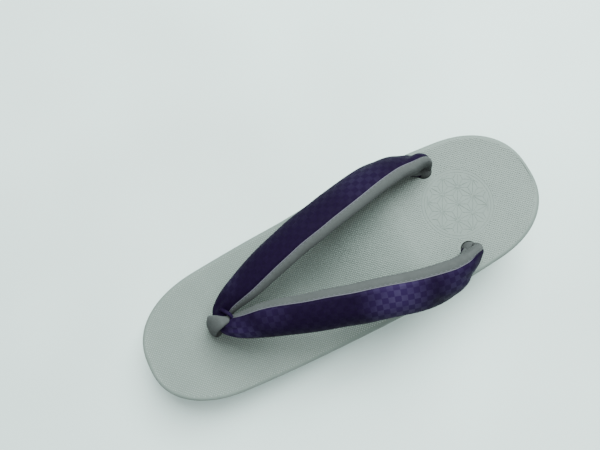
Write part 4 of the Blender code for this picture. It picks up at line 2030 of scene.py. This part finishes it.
    def add_core(self, shape: bmesh.types.BMesh) -> None:
        """Add the pressed velour that fills the hole round both legs.

        Args:
            shape: gets the core.
        """
        toe_x = self.sole.toe_hole[0]
        low, high = self.sole.underside(toe_x), self.sole.dished(toe_x, 0.0) + self.core_rise
        rows = []
        middle_x, middle_y = toe_x + self.core_place[0], self.core_place[1]
        for height, swell in self.core_rows:
            z = low + (high - low) * height
            ring = []
            for step in range(self.core_sides):
                turn = 2 * pi * step / self.core_sides
                radius = self.core_radius * swell * (1.0 + 0.03 * sin(4 * turn + 1.0))
                ring.append(Vector((middle_x + radius * cos(turn), middle_y + radius * sin(turn), z)))
            rows.append(ring)
        skin(shape, rows, caps=(0, -1))

    def cloth_fold(self) -> bpy.types.Object:
        """The small fold of the woven cloth that shows behind the band.

        Returns:
            The piece.
        """
        rows = []
        count = len(self.fold) - 1
        places = [Vector(row[:3]) * MM for row in self.fold]
        turns = [2 * pi * corner / self.fold_sides for corner in range(self.fold_sides)]
        for index in range(count * self.fold_steps + 1):
            part = min(index // self.fold_steps, count - 1)
            share = index / self.fold_steps - part
            here = places[part].lerp(places[part + 1], share)
            wide = (self.fold[part][3] + (self.fold[part + 1][3] - self.fold[part][3]) * share) * MM
            tangent = (places[part + 1] - places[part]).normalized()
            first = Vector((0, 0, 1)).cross(tangent).normalized()
            second = tangent.cross(first)
            rows.append([here + first * (wide * cos(t)) + second * (wide * 0.7 * sin(t)) for t in turns])
        shape = bmesh.new()
        skin(shape, rows, caps=(0, -1), chart=lambda row, column: (row * 0.2 * MM, column * 0.3 * MM))
        weld(shape)
        return from_bmesh("toe_loop_fold", shape)

    def relief(self, index: int, side: float, lift: float) -> float:
        """Soft creases across and along the band, on its outer face.

        Args:
            index: number of the station.
            side: cosine of the point's turn round the band.
            lift: sine of it.

        Returns:
            How far the point stands off.
        """
        across = self.slack * noise.noise(Vector((index * 0.11, side * 1.3, 2.0)))
        away = (side - 0.15 * sin(index * 0.07)) / 0.16
        fold = self.crease * exp(-(away ** 2)) * smooth_ramp(index, 8, 26)
        return (across - fold) * max(lift, 0.0)


# Studio


@dataclass
class Studio:
    """A pale floor, soft light from above and the photograph's camera."""

    board: bpy.types.Material
    floor_reach: float = 2.5
    eye: tuple[float, float, float] = (0.01146, 0.02691, 0.33487)
    right: tuple[float, float, float] = (-0.88885, 0.45208, -0.07469)
    down: tuple[float, float, float] = (0.45791, 0.87055, -0.18018)
    forward: tuple[float, float, float] = (-0.01643, -0.19435, -0.98079)
    lens: float = 31.0
    lamps: tuple[tuple[str, tuple[float, float, float], float, float, str], ...] = (
        ("key", (-0.50, -0.43, 1.05), 0.90, 44.0, "#F5FFFC"),
        ("fill", (0.20, 0.35, 1.80), 1.6, 13.0, "#F3FCFA"),
    )

    def build(self) -> None:
        """Build the floor, the lights, the world and the camera."""
        self.lay_floor()
        for lamp in self.lamps:
            self.hang_lamp(*lamp)
        self.light_world()
        self.set_camera()

    def lay_floor(self) -> None:
        """Lay the floor at z 0."""
        shape = bmesh.new()
        bmesh.ops.create_grid(shape, x_segments=4, y_segments=4, size=self.floor_reach)
        floor_board = from_bmesh("floor_board", shape)
        floor_board.data.materials.append(self.board)

    @staticmethod
    def hang_lamp(
        name: str, place: tuple[float, float, float], size: float, power: float, colour: str
    ) -> None:
        """Hang one square soft light that faces the sandal.

        Args:
            name: the light's name.
            place: where it hangs.
            size: its side.
            power: in watts.
            colour: the sRGB hex value of its light.
        """
        light = bpy.data.lights.new(name, "AREA")
        light.size = size
        light.energy = power
        light.color = linear(colour)[:3]
        lamp = bpy.data.objects.new(name, light)
        lamp.location = place
        lamp.rotation_euler = (Vector((0.0, 0.0, 0.02)) - Vector(place)).to_track_quat("-Z", "Y").to_euler()
        bpy.context.scene.collection.objects.link(lamp)

    @staticmethod
    def light_world() -> None:
        """Give the room a pale even light."""
        world = bpy.data.worlds.new("room")
        world.use_nodes = True
        background = world.node_tree.nodes["Background"]
        background.inputs["Color"].default_value = linear("#EDEAEA")
        background.inputs["Strength"].default_value = 0.34
        bpy.context.scene.world = world

    def set_camera(self) -> None:
        """Put the camera where the photograph was taken from."""
        camera = bpy.data.cameras.new("camera")
        camera.sensor_width = 36.0
        camera.lens = self.lens
        camera.clip_start = 0.01
        seat = bpy.data.objects.new("camera", camera)
        axes = (Vector(self.right), -Vector(self.down), -Vector(self.forward))
        turn = Matrix(axes).transposed().to_4x4()
        seat.matrix_world = Matrix.Translation(self.eye) @ turn
        bpy.context.scene.collection.objects.link(seat)
        bpy.context.scene.camera = seat


def main() -> None:
    """Load the frame and build every piece."""
    logging.basicConfig(level=logging.INFO, format="%(message)s")
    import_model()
    sole = SoleForm()
    foam, velour, jacquard = PressedFoam().build(), Velour().build(), CheckedJacquard().build()
    # The lozenges get a lighter foam than the board: painted highlight on their raised tops, with the darker
    # board between them as painted shade in the grooves.
    painted_highlight_crest = PressedFoam("eva_foam_pressed_crests", "#96A19C", "#8C9792", (0.46, 0.58)).build()
    rubber = MouldedRubber().build()
    grid = pressed_grid_tree()
    Outsole(sole, rubber, grid).build()
    Wedge(sole, MouldedFoam().build()).build()
    Footbed(sole, foam, painted_highlight_crest, grid, ridge_tree()).build()
    strap = Strap(sole, jacquard, velour, SpunThread().build(), seam_tree())
    strap.build()
    ToeLoop(sole, strap, velour, jacquard).build()
    Studio(PaintedBoard().build()).build()
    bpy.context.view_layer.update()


if __name__ == "__main__":
    main()
